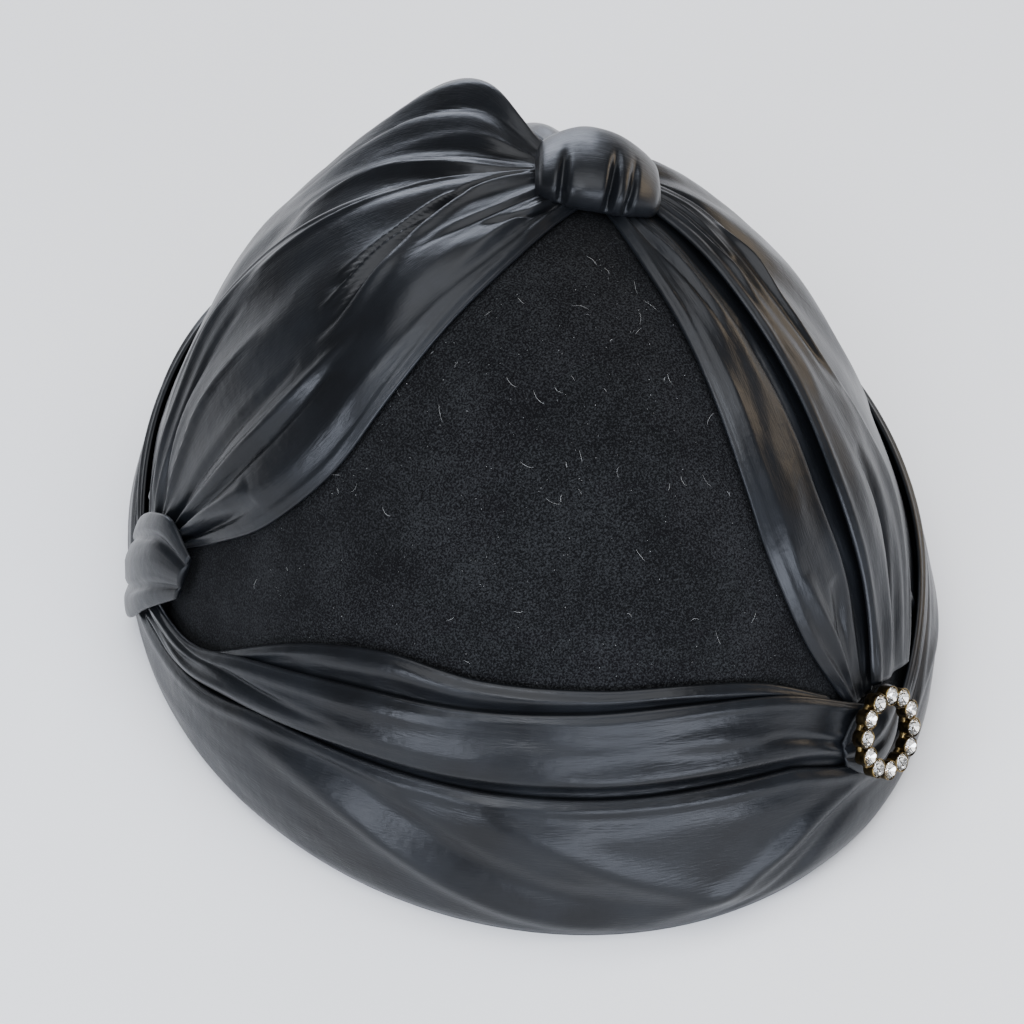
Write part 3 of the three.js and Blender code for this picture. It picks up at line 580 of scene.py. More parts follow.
@dataclass
class LowerBand:
    """The wide satin roll round the rim, with its hem turned up inside."""

    name: str = "satin_lower_band"
    around: int = 440
    across: int = 70
    cut: tuple[float, float, float] = (56, 616, 285)
    rim: float = 3.2
    hem_outer: float = -3.0
    hem_inner: float = -4.2
    hem_top: float = 6.0
    floor: float = 1.1
    top: Sequence[tuple[float, float]] = (
        (-180, 15.0), (-150, 14.5), (-124, 11.0), (-108, 6.5), (-96, 8.0), (-84, 10.5), (-71, 14.8),
        (-55, 17.0), (-38, 18.0), (-21, 18.3), (-4, 17.8), (10, 15.8), (20, 11.5), (28, 7.8),
        (37, 8.2), (48, 11.5), (66, 14.5), (110, 15.0), (180, 15.0),
    )
    creases: Sequence[Crease] = ()
    unrest: float = 0.35
    seed: int = 101

    def edge(self, azimuth: Array) -> Array:
        """Elevation of the top hem at each azimuth."""
        rows = np.array(self.top)
        i = np.clip(np.searchsorted(rows[:, 0], azimuth, side="left") - 1, 0, len(rows) - 2)
        f = (azimuth - rows[i, 0]) / (rows[i + 1, 0] - rows[i, 0])
        return spline(rows[:, 1], (i + f) / (len(rows) - 1))

    def lift(self, azimuth: Array, top: Array, share: Array) -> Array:
        """How far the band stands off the form.

        Args:
            azimuth: degrees, one per section.
            top: elevation of the top hem, one per section.
            share: places up the band, 0 at the rim and 1 at the hem.
        Returns:
            Lift in millimetres, sections by places.
        """
        fullness = 0.2 + 0.8 * np.clip((top - 6) / 10, 0, 1)
        at = np.array([0, 0.22, 0.5, 0.8, 1.0])
        swell = np.interp(share, at, [0, 1.2, 2.2, 1.8, 0])
        kernel = np.hanning(9) / np.hanning(9).sum()
        swell = np.convolve(np.pad(swell, 4, mode="edge"), kernel, mode="valid")
        lift = 3.15 + swell[None, :] * fullness[:, None]
        u = (azimuth + 180) / 360
        quiet = ease(share / 0.15) * ease((1.02 - share) / 0.12)
        extra = crease_lift(self.creases, u, share)
        wrap = ease(u / 0.04) * ease((1 - u) / 0.04)
        extra += self.unrest * smooth_noise(self.seed, (22, 3), u, share) * wrap[:, None]
        extra += 0.3 * self.unrest * smooth_noise(self.seed + 1, (60, 9), u, share) * wrap[:, None]
        lift = lift + extra * quiet[None, :] * fullness[:, None]
        width = np.radians(top) * 95
        away = (1 - share)[None, :] * width[:, None]
        lift += 0.55 * np.exp(-(((away - 1.4) / 1.1) ** 2))
        return lift - 1.1 * np.exp(-((share[None, :] * width[:, None] / 1.6) ** 1.5))

    def build(self) -> bpy.types.Object:
        """Makes the closed ring."""
        azimuth = -180 + 360 * np.arange(self.around) / self.around
        top = self.edge(azimuth)
        share = 1 - spread(self.across, 0.7)
        lift = self.lift(azimuth, top, share[::-1])[:, ::-1]
        angle = azimuth[:, None]
        elevation = top[:, None] * share[None, :]
        outer = FORM.point(direction(angle, elevation), lift)
        low = np.maximum(elevation, 0.9)
        inner = FORM.point(direction(angle, low), np.minimum(lift, lift[:, :1] + 9) - CLOTH)

        def rim(level: float, offset: float) -> Array:
            return FORM.point(direction(angle, level + 0 * angle), offset + 0 * angle)

        hem = [rim(0, 0), rim(0, self.hem_inner + 0.4), rim(0.35, self.hem_inner)]
        hem += [rim(self.hem_top - 0.3, self.hem_inner), rim(self.hem_top, (self.hem_inner + self.hem_outer) / 2)]
        hem += [rim(self.hem_top - 0.3, self.hem_outer), rim(self.floor, self.hem_outer)]
        middle = (outer[:, 0] + inner[:, 0]) / 2
        out = outer[:, 0] - middle
        up = unit(outer[:, 0] - outer[:, 1]) * np.linalg.norm(out, axis=-1, keepdims=True)
        arc = [middle + out * math.cos(a) + up * math.sin(a) for a in np.radians([135, 90, 45])]
        parts = [outer, *hem, inner[:, ::-1], np.stack(arc, 1)]
        sections = np.concatenate(parts, axis=1)
        length = np.linalg.norm(np.diff(np.vstack([outer[:, self.across // 2], outer[:1, self.across // 2]]), axis=0), axis=-1)
        along = np.concatenate([[0], np.cumsum(length)[:-1]])
        breadth = np.linalg.norm(np.diff(sections[self.around // 2], axis=0), axis=-1)
        across = np.concatenate([[0], np.cumsum(breadth)])
        uv = np.stack(np.meshgrid(across, along), axis=-1)
        return loft(self.name, sections, uv, joined=True)


LOWER_BAND = LowerBand(
    creases=(
        Crease(0.98, 0.3, 0.3, 0.47, 0.09, -1.5), Crease(0.8, 0.12, 0.3, 0.45, 0.08, 1.2),
        Crease(0.9, 0.2, 0.38, 0.52, 0.1, 1.1), Crease(0.2, 0.9, 0.46, 0.585, 0.07, 1.3),
        Crease(0.05, 0.8, 0.48, 0.585, 0.06, -1.1), Crease(0.35, 0.95, 0.5, 0.59, 0.05, -0.9),
        Crease(0.9, 0.4, 0.59, 0.7, 0.07, 1.1), Crease(0.7, 0.25, 0.6, 0.74, 0.06, -1.0),
        Crease(0.3, 0.3, 0.44, 0.6, 0.22, 1.8), Crease(0.4, 0.75, 0.72, 0.97, 0.09, 0.9), Crease(0.6, 0.4, 0.03, 0.27, 0.09, 0.9),
    ),
)


@dataclass
class Crown:
    """The hollow velvet shell that the satin lies on."""

    name: str = "velvet_crown_shell"
    wall: float = 2.0
    lowest: float = 2.6
    around: int = 200
    levels: int = 70

    def build(self) -> bpy.types.Object:
        """Makes the open shell with a rounded rim."""
        azimuth = 360 * np.arange(self.around) / self.around
        elevation = np.linspace(self.lowest, 89.6, self.levels)
        rows = [(e, 0.0) for e in elevation[::-1]]
        rows += [(self.lowest - 0.25, -0.4), (self.lowest - 0.4, -1.0), (self.lowest - 0.25, -1.6)]
        rows += [(e, -self.wall) for e in elevation]
        sections = [FORM.point(direction(azimuth, e), np.full(self.around, lift)) for e, lift in rows]
        points = np.stack(sections).reshape(-1, 3)
        count, last = self.around, len(rows)
        i = np.arange(last - 1)[:, None]
        k = np.arange(count)[None, :]
        m = (k + 1) % count
        quads = np.stack(np.broadcast_arrays(i * count + k, i * count + m, (i + 1) * count + m,
                                             (i + 1) * count + k), -1).reshape(-1, 4)
        top, under = len(points), len(points) + 1
        ends = np.stack([FORM.point(direction(0.0, 90.0), np.array(0.0)),
                         FORM.point(direction(0.0, 90.0), np.array(-self.wall))])
        points = np.concatenate([points, ends])
        faces = outward(points, quads).tolist()
        flipped = faces[0][1] != 1
        first = [(int(a), int(b)) for a, b in zip(k[0], m[0])]
        base = (last - 1) * count
        for a, b in first:
            cap = [top, b, a] if not flipped else [top, a, b]
            faces.append(cap)
            cap = [under, base + a, base + b] if not flipped else [under, base + b, base + a]
            faces.append(cap)
        return mesh_object(self.name, points, faces)


@dataclass
class Pad:
    """A knot of gathered satin that lies on the form: rows of azimuth, low, high, base and top."""

    name: str
    rows: Sequence[tuple[float, float, float, float, float]]
    tucks: Sequence[tuple[float, float, float]] = ()
    along: int = 60
    around: int = 96
    power: float = 0.7

    def build(self) -> bpy.types.Object:
        """Makes the closed pad."""
        t = np.linspace(0, 1, self.along + 1)
        azimuth, low, high, base, top = spline(np.array(self.rows), t).T
        turn = 2 * np.pi * (np.arange(self.around) + 0.5) / self.around
        across = np.sign(np.cos(turn)) * np.abs(np.cos(turn)) ** self.power
        rise = np.sign(np.sin(turn)) * np.abs(np.sin(turn)) ** self.power
        elevation = ((low + high) / 2)[:, None] + across[None, :] * ((high - low) / 2)[:, None]
        lift = ((base + top) / 2)[:, None] + rise[None, :] * ((top - base) / 2)[:, None]
        for at, width, depth in self.tucks:
            valley = depth * np.exp(-(((across - at) / width) ** 2)) * ease(rise * 2)
            lift += valley[None, :] * (0.5 + 0.5 * np.sin(np.pi * t) ** 0.6)[:, None]
        sections = FORM.point(direction(azimuth[:, None] + 0 * lift, elevation), lift)
        uv = np.stack(np.meshgrid(np.arange(self.around) * 0.4, t * 30), axis=-1)
        return loft(self.name, sections, uv)


SIDE_KNOT = Pad(
    "satin_side_knot",
    rows=((-110, 2.0, 14.5, 4.2, 5.2), (-107, 3.0, 18.5, 4.2, 6.6), (-103, 6.0, 22.0, 4.3, 7.4),
          (-98, 11.5, 24.5, 4.2, 7.2), (-92, 17.5, 23.5, 3.6, 5.0)),
    tucks=((-0.45, 0.1, -1.3), (0.1, 0.2, 0.7), (0.55, 0.09, -1.3)),
)
RING_TAB = Pad(
    "satin_ring_tab",
    rows=((19, 12.5, 15.5, 3.6, 4.6), (22, 10.0, 17.2, 3.5, 5.6), (26, 9.4, 17.6, 3.5, 6.2),
          (30, 10.0, 17.2, 3.5, 5.6), (33, 12.0, 15.0, 3.6, 4.6)),
    tucks=((-0.3, 0.14, -0.7), (0.1, 0.12, 0.4), (0.45, 0.12, -0.6)),
)


@dataclass
class TopKnot:
    """The padded knot that the drapes come out of: rows of across, front, back, base and top."""

    name: str = "satin_top_knot"
    centre: tuple[float, float] = (18.5, 7.0)
    turn: float = -26.0
    rows: Sequence[tuple[float, float, float, float, float]] = (
        (-12.4, -6, 7, 1.2, 6.0), (-10.8, -9, 10, 1.0, 9.0), (-5, -12, 12.6, 0.8, 12.0),
        (0, -12.5, 13.2, 0.8, 12.4), (5, -12, 12.6, 0.8, 11.4), (10.8, -9, 10.4, 1.0, 8.6),
        (12.8, -6, 7, 1.2, 5.8),
    )
    tucks: Sequence[tuple[float, float, float]] = ((-6.8, 0.8, 1.6), (2.4, 0.8, 1.9), (6.2, 0.7, 1.2))
    along: int = 130
    around: int = 120
    power: float = 0.75

    def build(self) -> bpy.types.Object:
        """Makes the closed knot with its tucks."""
        t = np.linspace(0, 1, self.along + 1)
        across, front, back, base, top = spline(np.array(self.rows), t).T
        angle = 2 * np.pi * (np.arange(self.around) + 0.5) / self.around
        reach = np.sign(np.cos(angle)) * np.abs(np.cos(angle)) ** self.power
        rise = np.sign(np.sin(angle)) * np.abs(np.sin(angle)) ** self.power
        depth = ((front + back) / 2)[:, None] + reach[None, :] * ((back - front) / 2)[:, None]
        lift = ((base + top) / 2)[:, None] + rise[None, :] * ((top - base) / 2)[:, None]
        wall = ease((-reach + 0.2) / 0.9) * ease((rise + 0.7) / 0.7)
        for at, width, height in self.tucks:
            lean = at + 0.6 * reach
            valley = np.exp(-(((across[:, None] - lean[None, :]) / width) ** 2))
            shrink = 1 - 0.13 * height * valley * wall[None, :]
            depth = depth * shrink
            lift = lift - 0.9 * height * valley * (wall**1.5 * ease(rise + 0.2))[None, :]
        c, s = math.cos(math.radians(self.turn)), math.sin(math.radians(self.turn))
        x = (self.centre[0] + c * across[:, None] - s * depth) / FORM.half_width
        y = (self.centre[1] + s * across[:, None] + c * depth) / FORM.half_length
        units = np.stack([x, y, np.sqrt(1 - x * x - y * y)], axis=-1)
        uv = np.stack(np.meshgrid(np.arange(self.around) * 0.6, t * 25), axis=-1)
        return loft(self.name, FORM.point(units, lift), uv)


# ---- the ring of stones --------------------------------------------------


def lathe(outline: Sequence[tuple[float, float]], around: int, centre: tuple[float, float]) -> tuple[Array, list]:
    """Turns a closed outline of radius and height about an upright axis.

    Args:
        outline: the closed outline, clear of the axis or ending on it.
        around: how many steps round.
        centre: where the axis stands.
    Returns:
        Points and faces.
    """
    rows = np.array(outline, float)
    angle = 2 * np.pi * np.arange(around) / around
    x = centre[0] + rows[:, :1] * np.cos(angle)
    y = centre[1] + rows[:, :1] * np.sin(angle)
    z = rows[:, 1:] + 0 * x
    points = np.stack([x, y, z], -1).reshape(-1, 3)
    faces = []
    for j in range(len(rows)):
        n = (j + 1) % len(rows)
        for i in range(around):
            m = (i + 1) % around
            faces.append([j * around + i, j * around + m, n * around + m, n * around + i])
    return points, outward(points, np.array(faces)).tolist()


@dataclass
class StoneRing:
    """A ring of clear stones in dark cups, seated on the satin tab."""

    count: int = 12
    circle: float = 8.1
    radius: float = 1.88
    inner: float = 6.5
    outer: float = 9.7
    base: float = 1.5
    cup: float = 2.2
    bore: float = 1.93
    cup_top: float = 2.9
    stone_height: float = 2.6
    seat: tuple[float, float, float] = (24.6, 14.6, 7.6)
    face: tuple[float, float] = (27.0, 22.0)

    def placed(self) -> Matrix:
        """Where the ring sits, in metres."""
        at = FORM.point(direction(self.seat[0], self.seat[1]), np.array(self.seat[2])) * MM
        turn = Vector((0, 0, 1)).rotation_difference(Vector(direction(*self.face)))
        return Matrix.Translation(Vector(at)) @ turn.to_matrix().to_4x4()

    def corners(self) -> list[tuple[float, float]]:
        """The middle of each cup, in the ring's own plane."""
        angle = 2 * np.pi * np.arange(self.count) / self.count
        return list(zip(self.circle * np.cos(angle), self.circle * np.sin(angle)))

    def setting(self) -> bpy.types.Object:
        """The hoop with its cups, each with a rolled lip."""
        o, i, h = self.outer - 0.5, self.inner, self.base
        outline = [(i, 0.2), (i + 0.2, 0), (o - 0.3, 0), (o, 0.3), (o, h - 0.3), (o - 0.3, h), (i + 0.3, h), (i, h - 0.3)]
        points, faces = lathe(outline, 96, (0, 0))
        c, b, t = self.cup, self.bore, self.cup_top
        lip = [(c - 0.2, 0.1), (c - 0.1, t - 0.5), (c, t - 0.15), (c - 0.08, t), (b + 0.1, t + 0.02)]
        lip += [(b, t - 0.12), (b, t - 0.6), (b - 0.5, t - 1.6), (0.02, t - 1.62), (0.02, 0.1)]
        for centre in self.corners():
            more, loops = lathe(lip, 32, centre)
            faces += [[a + len(points) for a in face] for face in loops]
            points = np.concatenate([points, more])
        made = mesh_object("brass_ring_setting", points, faces)
        made.matrix_world = self.placed()
        return made

    def stone(self, number: int) -> bpy.types.Object:
        """One round cut stone: table, star, main and girdle facets over a foiled cone."""
        r, steps = self.radius, 8
        rings = [(1.1, 0.85, 0.5), (1.5, 0.56, 0.0), (r, 0.14, 0.5), (r, -0.08, 0.5)]
        turn = 0.4 * number
        points = [(0.0, 0.0, 0.85)]
        for radius, height, shift in rings:
            for k in range(steps):
                a = 2 * math.pi * (k + shift) / steps + turn
                points.append((radius * math.cos(a), radius * math.sin(a), height))
        points.append((0.0, 0.0, -1.05))
        faces = [[1 + k for k in range(steps)]]
        for j in range(3):
            a0, b0 = 1 + j * steps, 1 + (j + 1) * steps
            for k in range(steps):
                n = (k + 1) % steps
                if j == 0:
                    faces += [[a0 + k, b0 + n, a0 + n], [a0 + k, b0 + k, b0 + n]]
                elif j == 1:
                    faces += [[a0 + k, b0 + k, a0 + n], [a0 + n, b0 + k, b0 + n]]
                else:
                    faces.append([a0 + k, b0 + k, b0 + n, a0 + n])
        low = 1 + 3 * steps
        pavilion = len(faces)
        faces += [[low + k, len(points) - 1, low + (k + 1) % steps] for k in range(steps)]
        used = sorted({i for f in faces for i in f})
        index = {old: new for new, old in enumerate(used)}
        faces = [[index[i] for i in f] for f in faces]
        made = mesh_object(f"glass_stone_{number:02d}", np.array([points[i] for i in used]), faces)
        made.data.polygons.foreach_set("use_smooth", [False] * len(faces))
        made["pavilion_from"] = pavilion
        x, y = self.corners()[number - 1]
        made.matrix_world = self.placed() @ Matrix.Translation(Vector((x, y, self.stone_height)) * MM)
        return made


# ---- lint ----------------------------------------------------------------


@dataclass
class Lint:
    """Stray hairs and specks of dust caught in the velvet's pile."""

    seed: int = 5
    hairs: int = 60
    specks: int = 260
    thick: float = 0.05

    def build(self) -> bpy.types.Object:
        """Makes one mesh of thin curved tubes and small grains."""
        rng = np.random.default_rng(self.seed)
        points, faces = [], []
        for k in range(self.hairs + self.specks):
            hair = k < self.hairs
            azimuth, elevation = rng.uniform(-80, 40), rng.uniform(26, 80)
            length = rng.uniform(1.0, 5.0) if hair else rng.uniform(0.1, 0.22)
            radius = self.thick * rng.uniform(0.35, 0.7) if hair else rng.uniform(0.03, 0.08)
            heading, bend = rng.uniform(0, 2 * np.pi), rng.uniform(-2.0, 2.0)
            steps = 9 if hair else 3
            place = np.array([azimuth, elevation])
            line = []
            for i in range(steps):
                turn = heading + bend * i / steps
                line.append(place.copy())
                step = length / steps / 1.8
                place += step * np.array([math.cos(turn) / math.cos(math.radians(elevation)), math.sin(turn)])
            line = np.array(line)
            lift = np.full(steps, 0.25 if hair else 0.12) + rng.uniform(-0.05, 0.12, steps)
            centre = FORM.point(direction(line[:, 0], line[:, 1]), lift)
            ahead = unit(np.gradient(centre, axis=0))
            side = unit(np.cross(ahead, centre))
            up = np.cross(side, ahead)
            taper = np.sin(np.pi * (np.arange(steps) + 0.5) / steps) ** 0.5
            start = sum(len(p) for p in points)
            for i in range(steps):
                ring = [centre[i] + radius * taper[i] * (side[i] * math.cos(a) + up[i] * math.sin(a))
                        for a in (0.5, 2.6, 4.7)]
                points.append(np.array(ring))
            for i in range(steps - 1):
                for a in range(3):
                    b = (a + 1) % 3
                    faces.append([start + 3 * i + a, start + 3 * i + b, start + 3 * i + 3 + b, start + 3 * i + 3 + a])
            end = start + 3 * (steps - 1)
            faces += [[start + 2, start + 1, start], [end, end + 1, end + 2]]
        return mesh_object("lint_on_velvet", np.concatenate(points), faces)


# ---- finishes ------------------------------------------------------------


def linear(hex_colour: str) -> tuple[float, float, float, float]:
    """An sRGB hex colour as linear red, green, blue and 1."""
    parts = [int(hex_colour[i:i + 2], 16) / 255 for i in (1, 3, 5)]
    return (*[c / 12.92 if c <= 0.04045 else ((c + 0.055) / 1.055) ** 2.4 for c in parts], 1.0)


def node(tree: bpy.types.NodeTree, kind: str, inputs: dict | None = None, **settings) -> bpy.types.Node:
    """Adds a node.

    Args:
        tree: the node tree.
        kind: the node's type.
        inputs: values, or sockets to link from, by input name or number.
        settings: the node's own attributes.
    Returns:
        The node.
    """
    made = tree.nodes.new(kind)
    for key, value in settings.items():
        setattr(made, key, value)
    for key, value in (inputs or {}).items():
        if isinstance(value, bpy.types.NodeSocket):
            tree.links.new(value, made.inputs[key])
        else:
            made.inputs[key].default_value = value
    return made


def new_material(name: str) -> tuple[bpy.types.Material, bpy.types.NodeTree, bpy.types.Node]:
    """A material with a plain Principled shader, its tree and that shader."""
    material = bpy.data.materials.new(name)
    material.use_nodes = True
    return material, material.node_tree, material.node_tree.nodes["Principled BSDF"]


def ramp(tree: bpy.types.NodeTree, factor: bpy.types.NodeSocket, low: float, high: float,
         to_low: float, to_high: float) -> bpy.types.NodeSocket:
    """Maps a value from one range to another, clamped."""
    made = node(tree, "ShaderNodeMapRange", {"Value": factor, "From Min": low, "From Max": high,
                                             "To Min": to_low, "To Max": to_high})
    return made.outputs["Result"]


@dataclass(frozen=True)
class Satin:
    """Polyester satin: long floats of smooth yarn that shine across the weave, cool and near black."""

    colour: str = "#0d0e10"
    worn: str = "#131518"
    rough: tuple[float, float] = (0.28, 0.38)
    anisotropy: float = 0.45
    ior: float = 1.30

    def material(self) -> bpy.types.Material:
        """Makes the material."""
        made, tree, shader = new_material("polyester satin")
        cloth = node(tree, "ShaderNodeUVMap", uv_map="cloth").outputs["UV"]
        place = node(tree, "ShaderNodeTexCoord").outputs["Object"]
        patch = node(tree, "ShaderNodeTexNoise", {"Vector": place, "Scale": 55.0, "Detail": 3.0}).outputs["Fac"]
        tint = node(tree, "ShaderNodeMix", data_type="RGBA")
        tree.links.new(ramp(tree, patch, 0.35, 0.65, 0, 1), tint.inputs["Factor"])
        tint.inputs[6].default_value = linear(self.colour)
        tint.inputs[7].default_value = linear(self.worn)
        tree.links.new(tint.outputs[2], shader.inputs["Base Color"])
        tree.links.new(ramp(tree, patch, 0.3, 0.7, *self.rough), shader.inputs["Roughness"])
        # slubs: yarns a little thicker than their neighbours, long in the weft
        weft = node(tree, "ShaderNodeMapping", {"Vector": cloth, "Scale": (2600.0, 260.0, 1.0)}).outputs[0]
        slub = node(tree, "ShaderNodeTexNoise", {"Vector": weft, "Scale": 1.0, "Detail": 2.0}).outputs["Fac"]
        crush = node(tree, "ShaderNodeTexNoise", {"Vector": place, "Scale": 240.0, "Detail": 4.0}).outputs["Fac"]
        soft = node(tree, "ShaderNodeBump", {"Height": crush, "Strength": 0.5, "Distance": 0.0003})
        fine = node(tree, "ShaderNodeBump", {"Height": slub, "Strength": 0.6, "Distance": 0.0001,
                                             "Normal": soft.outputs[0]})
        tree.links.new(fine.outputs[0], shader.inputs["Normal"])
        tangent = node(tree, "ShaderNodeTangent", direction_type="UV_MAP", uv_map="cloth")
        tree.links.new(tangent.outputs[0], shader.inputs["Tangent"])
        shader.inputs["IOR"].default_value = self.ior
        shader.inputs["Anisotropic"].default_value = self.anisotropy
        return made


@dataclass(frozen=True)
class Velvet:
    """Cut-pile velvet: upright fibres that swallow light and leave a faint grey bloom at the edges."""

    colour: str = "#0a0a0b"
    lifted: str = "#252627"

    def material(self) -> bpy.types.Material:
        """Makes the material."""
        made, tree, shader = new_material("cut-pile velvet")
        place = node(tree, "ShaderNodeTexCoord").outputs["Object"]
        pile = node(tree, "ShaderNodeTexNoise", {"Vector": place, "Scale": 2600.0, "Detail": 2.0}).outputs["Fac"]
        brush = node(tree, "ShaderNodeTexNoise", {"Vector": place, "Scale": 60.0, "Detail": 5.0}).outputs["Fac"]
        both = node(tree, "ShaderNodeMath", {0: brush, 1: 0.3, 2: pile}, operation="MULTIPLY_ADD").outputs[0]
        tint = node(tree, "ShaderNodeMix", data_type="RGBA")
        tree.links.new(ramp(tree, both, 0.58, 0.86, 0, 1), tint.inputs["Factor"])
        tint.inputs[6].default_value = linear(self.colour)
        tint.inputs[7].default_value = linear(self.lifted)
        tree.links.new(tint.outputs[2], shader.inputs["Base Color"])
        bump = node(tree, "ShaderNodeBump", {"Height": pile, "Strength": 0.8, "Distance": 0.0004})
        tree.links.new(bump.outputs[0], shader.inputs["Normal"])
        shader.inputs["Roughness"].default_value = 1.0
        shader.inputs["Specular IOR Level"].default_value = 0.05
        shader.inputs["Sheen Weight"].default_value = 0.02
        shader.inputs["Sheen Roughness"].default_value = 0.5
        shader.inputs["Sheen Tint"].default_value = linear("#c8ccd2")
        return made


@dataclass(frozen=True)
class AgedBrass:
    """Blackened brass: dark in the hollows, warm where the lips have rubbed bright."""

    colour: str = "#2b251c"
    rubbed: str = "#77653f"

    def material(self) -> bpy.types.Material:
        """Makes the material."""
        made, tree, shader = new_material("blackened brass")
        place = node(tree, "ShaderNodeTexCoord").outputs["Object"]
        wear = node(tree, "ShaderNodeTexNoise", {"Vector": place, "Scale": 420.0, "Detail": 4.0}).outputs["Fac"]
        tint = node(tree, "ShaderNodeMix", data_type="RGBA")
        tree.links.new(ramp(tree, wear, 0.4, 0.62, 0, 1), tint.inputs["Factor"])
        tint.inputs[6].default_value = linear(self.colour)
        tint.inputs[7].default_value = linear(self.rubbed)
        tree.links.new(tint.outputs[2], shader.inputs["Base Color"])
        tree.links.new(ramp(tree, wear, 0.3, 0.7, 0.42, 0.26), shader.inputs["Roughness"])
        shader.inputs["Metallic"].default_value = 1.0
        return made


@dataclass(frozen=True)
class Rhinestone:
    """Cut lead glass over silver foil: the facets break the room into bright and dark flashes."""

    ior: float = 1.58

    def material(self) -> bpy.types.Material:
        """Makes the clear glass."""
        made, _, shader = new_material("cut glass")
        shader.inputs["Base Color"].default_value = linear("#fbfaf6")
        shader.inputs["Roughness"].default_value = 0.0
        shader.inputs["IOR"].default_value = self.ior
        shader.inputs["Transmission Weight"].default_value = 1.0
        return made

    def foil(self) -> bpy.types.Material:
        """Makes the mirrored backing."""
        made, _, shader = new_material("silver foil")
        shader.inputs["Base Color"].default_value = linear("#dcdad6")
        shader.inputs["Metallic"].default_value = 1.0
        shader.inputs["Roughness"].default_value = 0.06
        return made


def lint_material() -> bpy.types.Material:
    """Cotton lint: pale, matt and fine enough to read as hairs."""
    made, _, shader = new_material("cotton lint")
    shader.inputs["Base Color"].default_value = linear("#9a9a98")
    shader.inputs["Roughness"].default_value = 0.9
    return made


# ---- the studio ----------------------------------------------------------


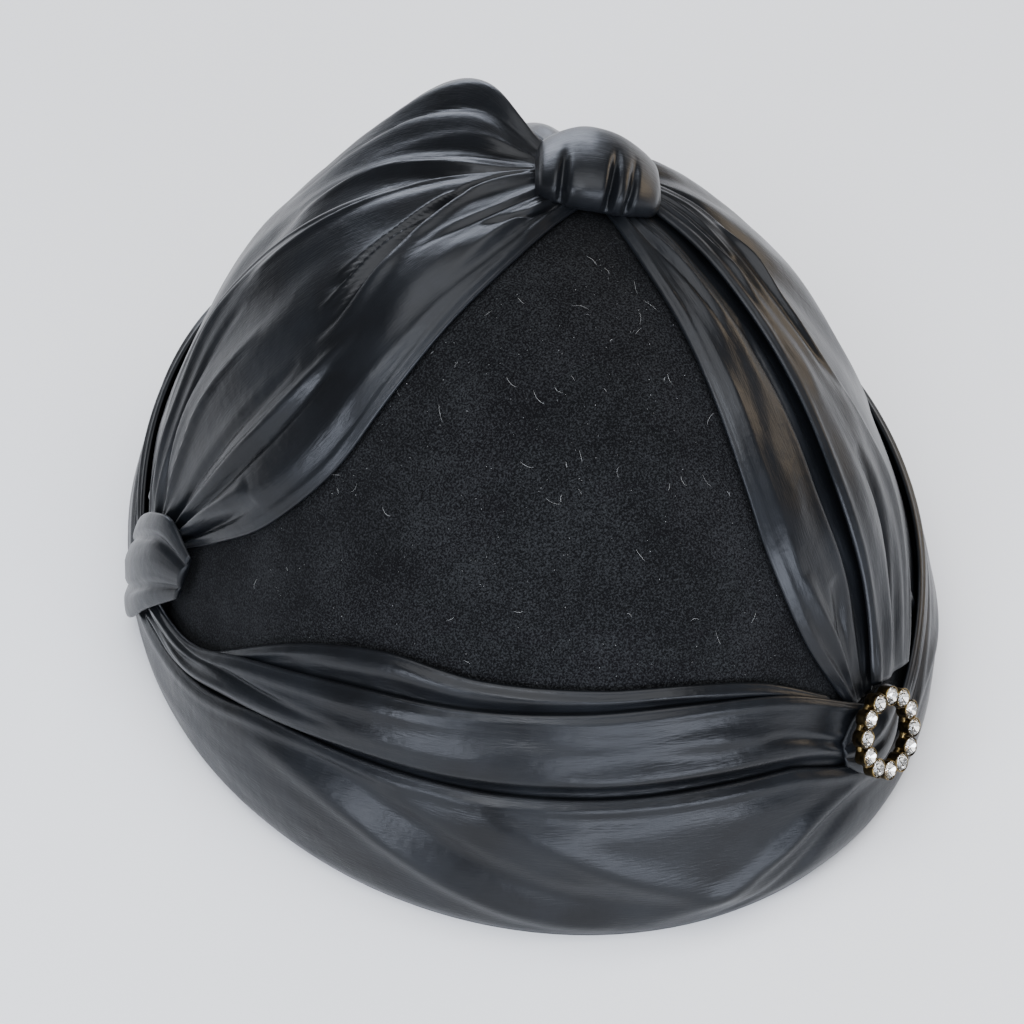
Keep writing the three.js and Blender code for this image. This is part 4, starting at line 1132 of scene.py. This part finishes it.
@dataclass(frozen=True)
class Studio:
    """A pale floor, a white room and soft lights, with the camera high and to the wearer's right."""

    azimuth: float = -26.0
    elevation: float = 44.0
    distance: float = 980.0
    lens: float = 150.0
    aim: tuple[float, float, float] = (3.0, 14.4, 14.8)

    def camera(self) -> None:
        """Places the camera and makes it the scene's."""
        data = bpy.data.cameras.new("camera")
        data.lens, data.sensor_width = self.lens, 36.0
        data.clip_start, data.clip_end = 0.05, 20.0
        camera = bpy.data.objects.new("camera", data)
        bpy.context.scene.collection.objects.link(camera)
        away = Vector(direction(self.azimuth, self.elevation))
        camera.location = Vector(self.aim) * MM + away * self.distance * MM
        camera.rotation_mode = "QUATERNION"
        camera.rotation_quaternion = (-away).to_track_quat("-Z", "Y")
        bpy.context.scene.camera = camera

    def floor(self) -> None:
        """A wide pale floor under the hat."""
        made, _, shader = new_material("matt white paper")
        shader.inputs["Base Color"].default_value = linear("#f4f4f4")
        shader.inputs["Roughness"].default_value = 0.9
        shader.inputs["Specular IOR Level"].default_value = 0.1
        half = 4000.0
        points = np.array([(-half, -half, 0), (half, -half, 0), (half, half, 0), (-half, half, 0)])
        plane = mesh_object("floor", points, [[0, 1, 2, 3]])
        plane.data.materials.append(made)

    def light(self, name: str, at: tuple[float, float], distance: float, size: tuple[float, float],
              power: float, colour: str) -> None:
        """One soft rectangular light that faces the hat.

        Args:
            name: the light's name.
            at: azimuth and elevation of the light, in degrees.
            distance: metres from the hat.
            size: width and height, in metres.
            power: in watts.
            colour: its colour, sRGB hex.
        """
        data = bpy.data.lights.new(name, "AREA")
        data.shape = "RECTANGLE"
        data.size, data.size_y = size
        data.energy = power
        data.color = linear(colour)[:3]
        lamp = bpy.data.objects.new(name, data)
        bpy.context.scene.collection.objects.link(lamp)
        away = Vector(direction(*at))
        lamp.location = away * distance
        lamp.rotation_mode = "QUATERNION"
        lamp.rotation_quaternion = (-away).to_track_quat("-Z", "Y")

    def world(self, strength: float) -> None:
        """An even white room."""
        made = bpy.data.worlds.new("room")
        made.use_nodes = True
        made.node_tree.nodes["Background"].inputs["Color"].default_value = (1, 1, 1, 1)
        made.node_tree.nodes["Background"].inputs["Strength"].default_value = strength
        bpy.context.scene.world = made

    def lights(self) -> None:
        """The soft key, the cool fill and the low warm glow."""
        self.world(0.15)
        self.light("overhead", (-20, 80), 1.7, (2.0, 2.0), 50.0, "#f8faff")
        self.light("key", (-50, 48), 1.5, (0.6, 0.4), 9.0, "#eef4ff")
        self.light("front", (-4, 12), 1.5, (1.6, 0.45), 34.0, "#e6eeff")
        self.light("front_right", (-68, 17), 1.5, (0.5, 0.45), 13.0, "#e6eeff")
        self.light("rear", (163, 15), 1.6, (1.2, 0.5), 19.0, "#e6eeff")
        self.light("side", (94, 15), 1.6, (1.1, 0.45), 8.0, "#ffe6c4")


# ---- the hat -------------------------------------------------------------


@dataclass
class Turban:
    """The whole hat: what each cloth piece is called, stands for and lies on."""

    satin: Satin = field(default_factory=Satin)
    velvet: Velvet = field(default_factory=Velvet)

    def build(self) -> None:
        """Builds and dresses every piece."""
        satin, velvet = self.satin.material(), self.velvet.material()
        crown = piece(Crown().build(), "velvet_crown", velvet)
        lower = piece(LOWER_BAND.build(), "lower_band", satin)
        layers = (
            (MIDDLE_BAND, "middle_band", (crown, lower)),
            (UPPER_FOLD, "upper_fold", (crown,)),
            (BACK_DRAPE, "back_drape", (crown,)),
            (LEFT_REAR_DRAPE, "left_rear_drape", (crown,)),
            (RIGHT_REAR_DRAPE, "right_rear_drape", (crown,)),
            (LEFT_DRAPE, "left_drape", (crown,)),
            (RIGHT_INNER_DRAPE, "right_inner_drape", (crown,)),
            (RIGHT_OUTER_DRAPE, "right_outer_drape", (crown,)),
            (REAR_BAND, "rear_band", (crown, lower)),
        )
        for cloth, cad_node, under in layers:
            made = piece(cloth.build(), cad_node, satin)
        for pad, cad_node in ((TopKnot(), "top_knot"), (SIDE_KNOT, "side_knot"), (RING_TAB, "ring_tab")):
            piece(pad.build(), cad_node, satin)
        self.dress_ring()
        lint = Lint().build()
        lint.data.materials.append(lint_material())
        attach(lint, "root")

    def dress_ring(self) -> None:
        """Builds the ring's setting and its stones."""
        ring, glass = StoneRing(), Rhinestone()
        piece(ring.setting(), "ring_setting", AgedBrass().material())
        clear, foil = glass.material(), glass.foil()
        for number in range(1, ring.count + 1):
            stone = piece(ring.stone(number), f"stone_{number:02d}", clear)
            stone.data.materials.append(foil)
            for polygon in list(stone.data.polygons)[stone["pavilion_from"]:]:
                polygon.material_index = 1


def main() -> None:
    """Builds the studio and the hat in order."""
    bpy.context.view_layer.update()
    studio = Studio()
    studio.camera()
    studio.floor()
    studio.lights()
    Turban().build()


if __name__ == "__main__":
    main()
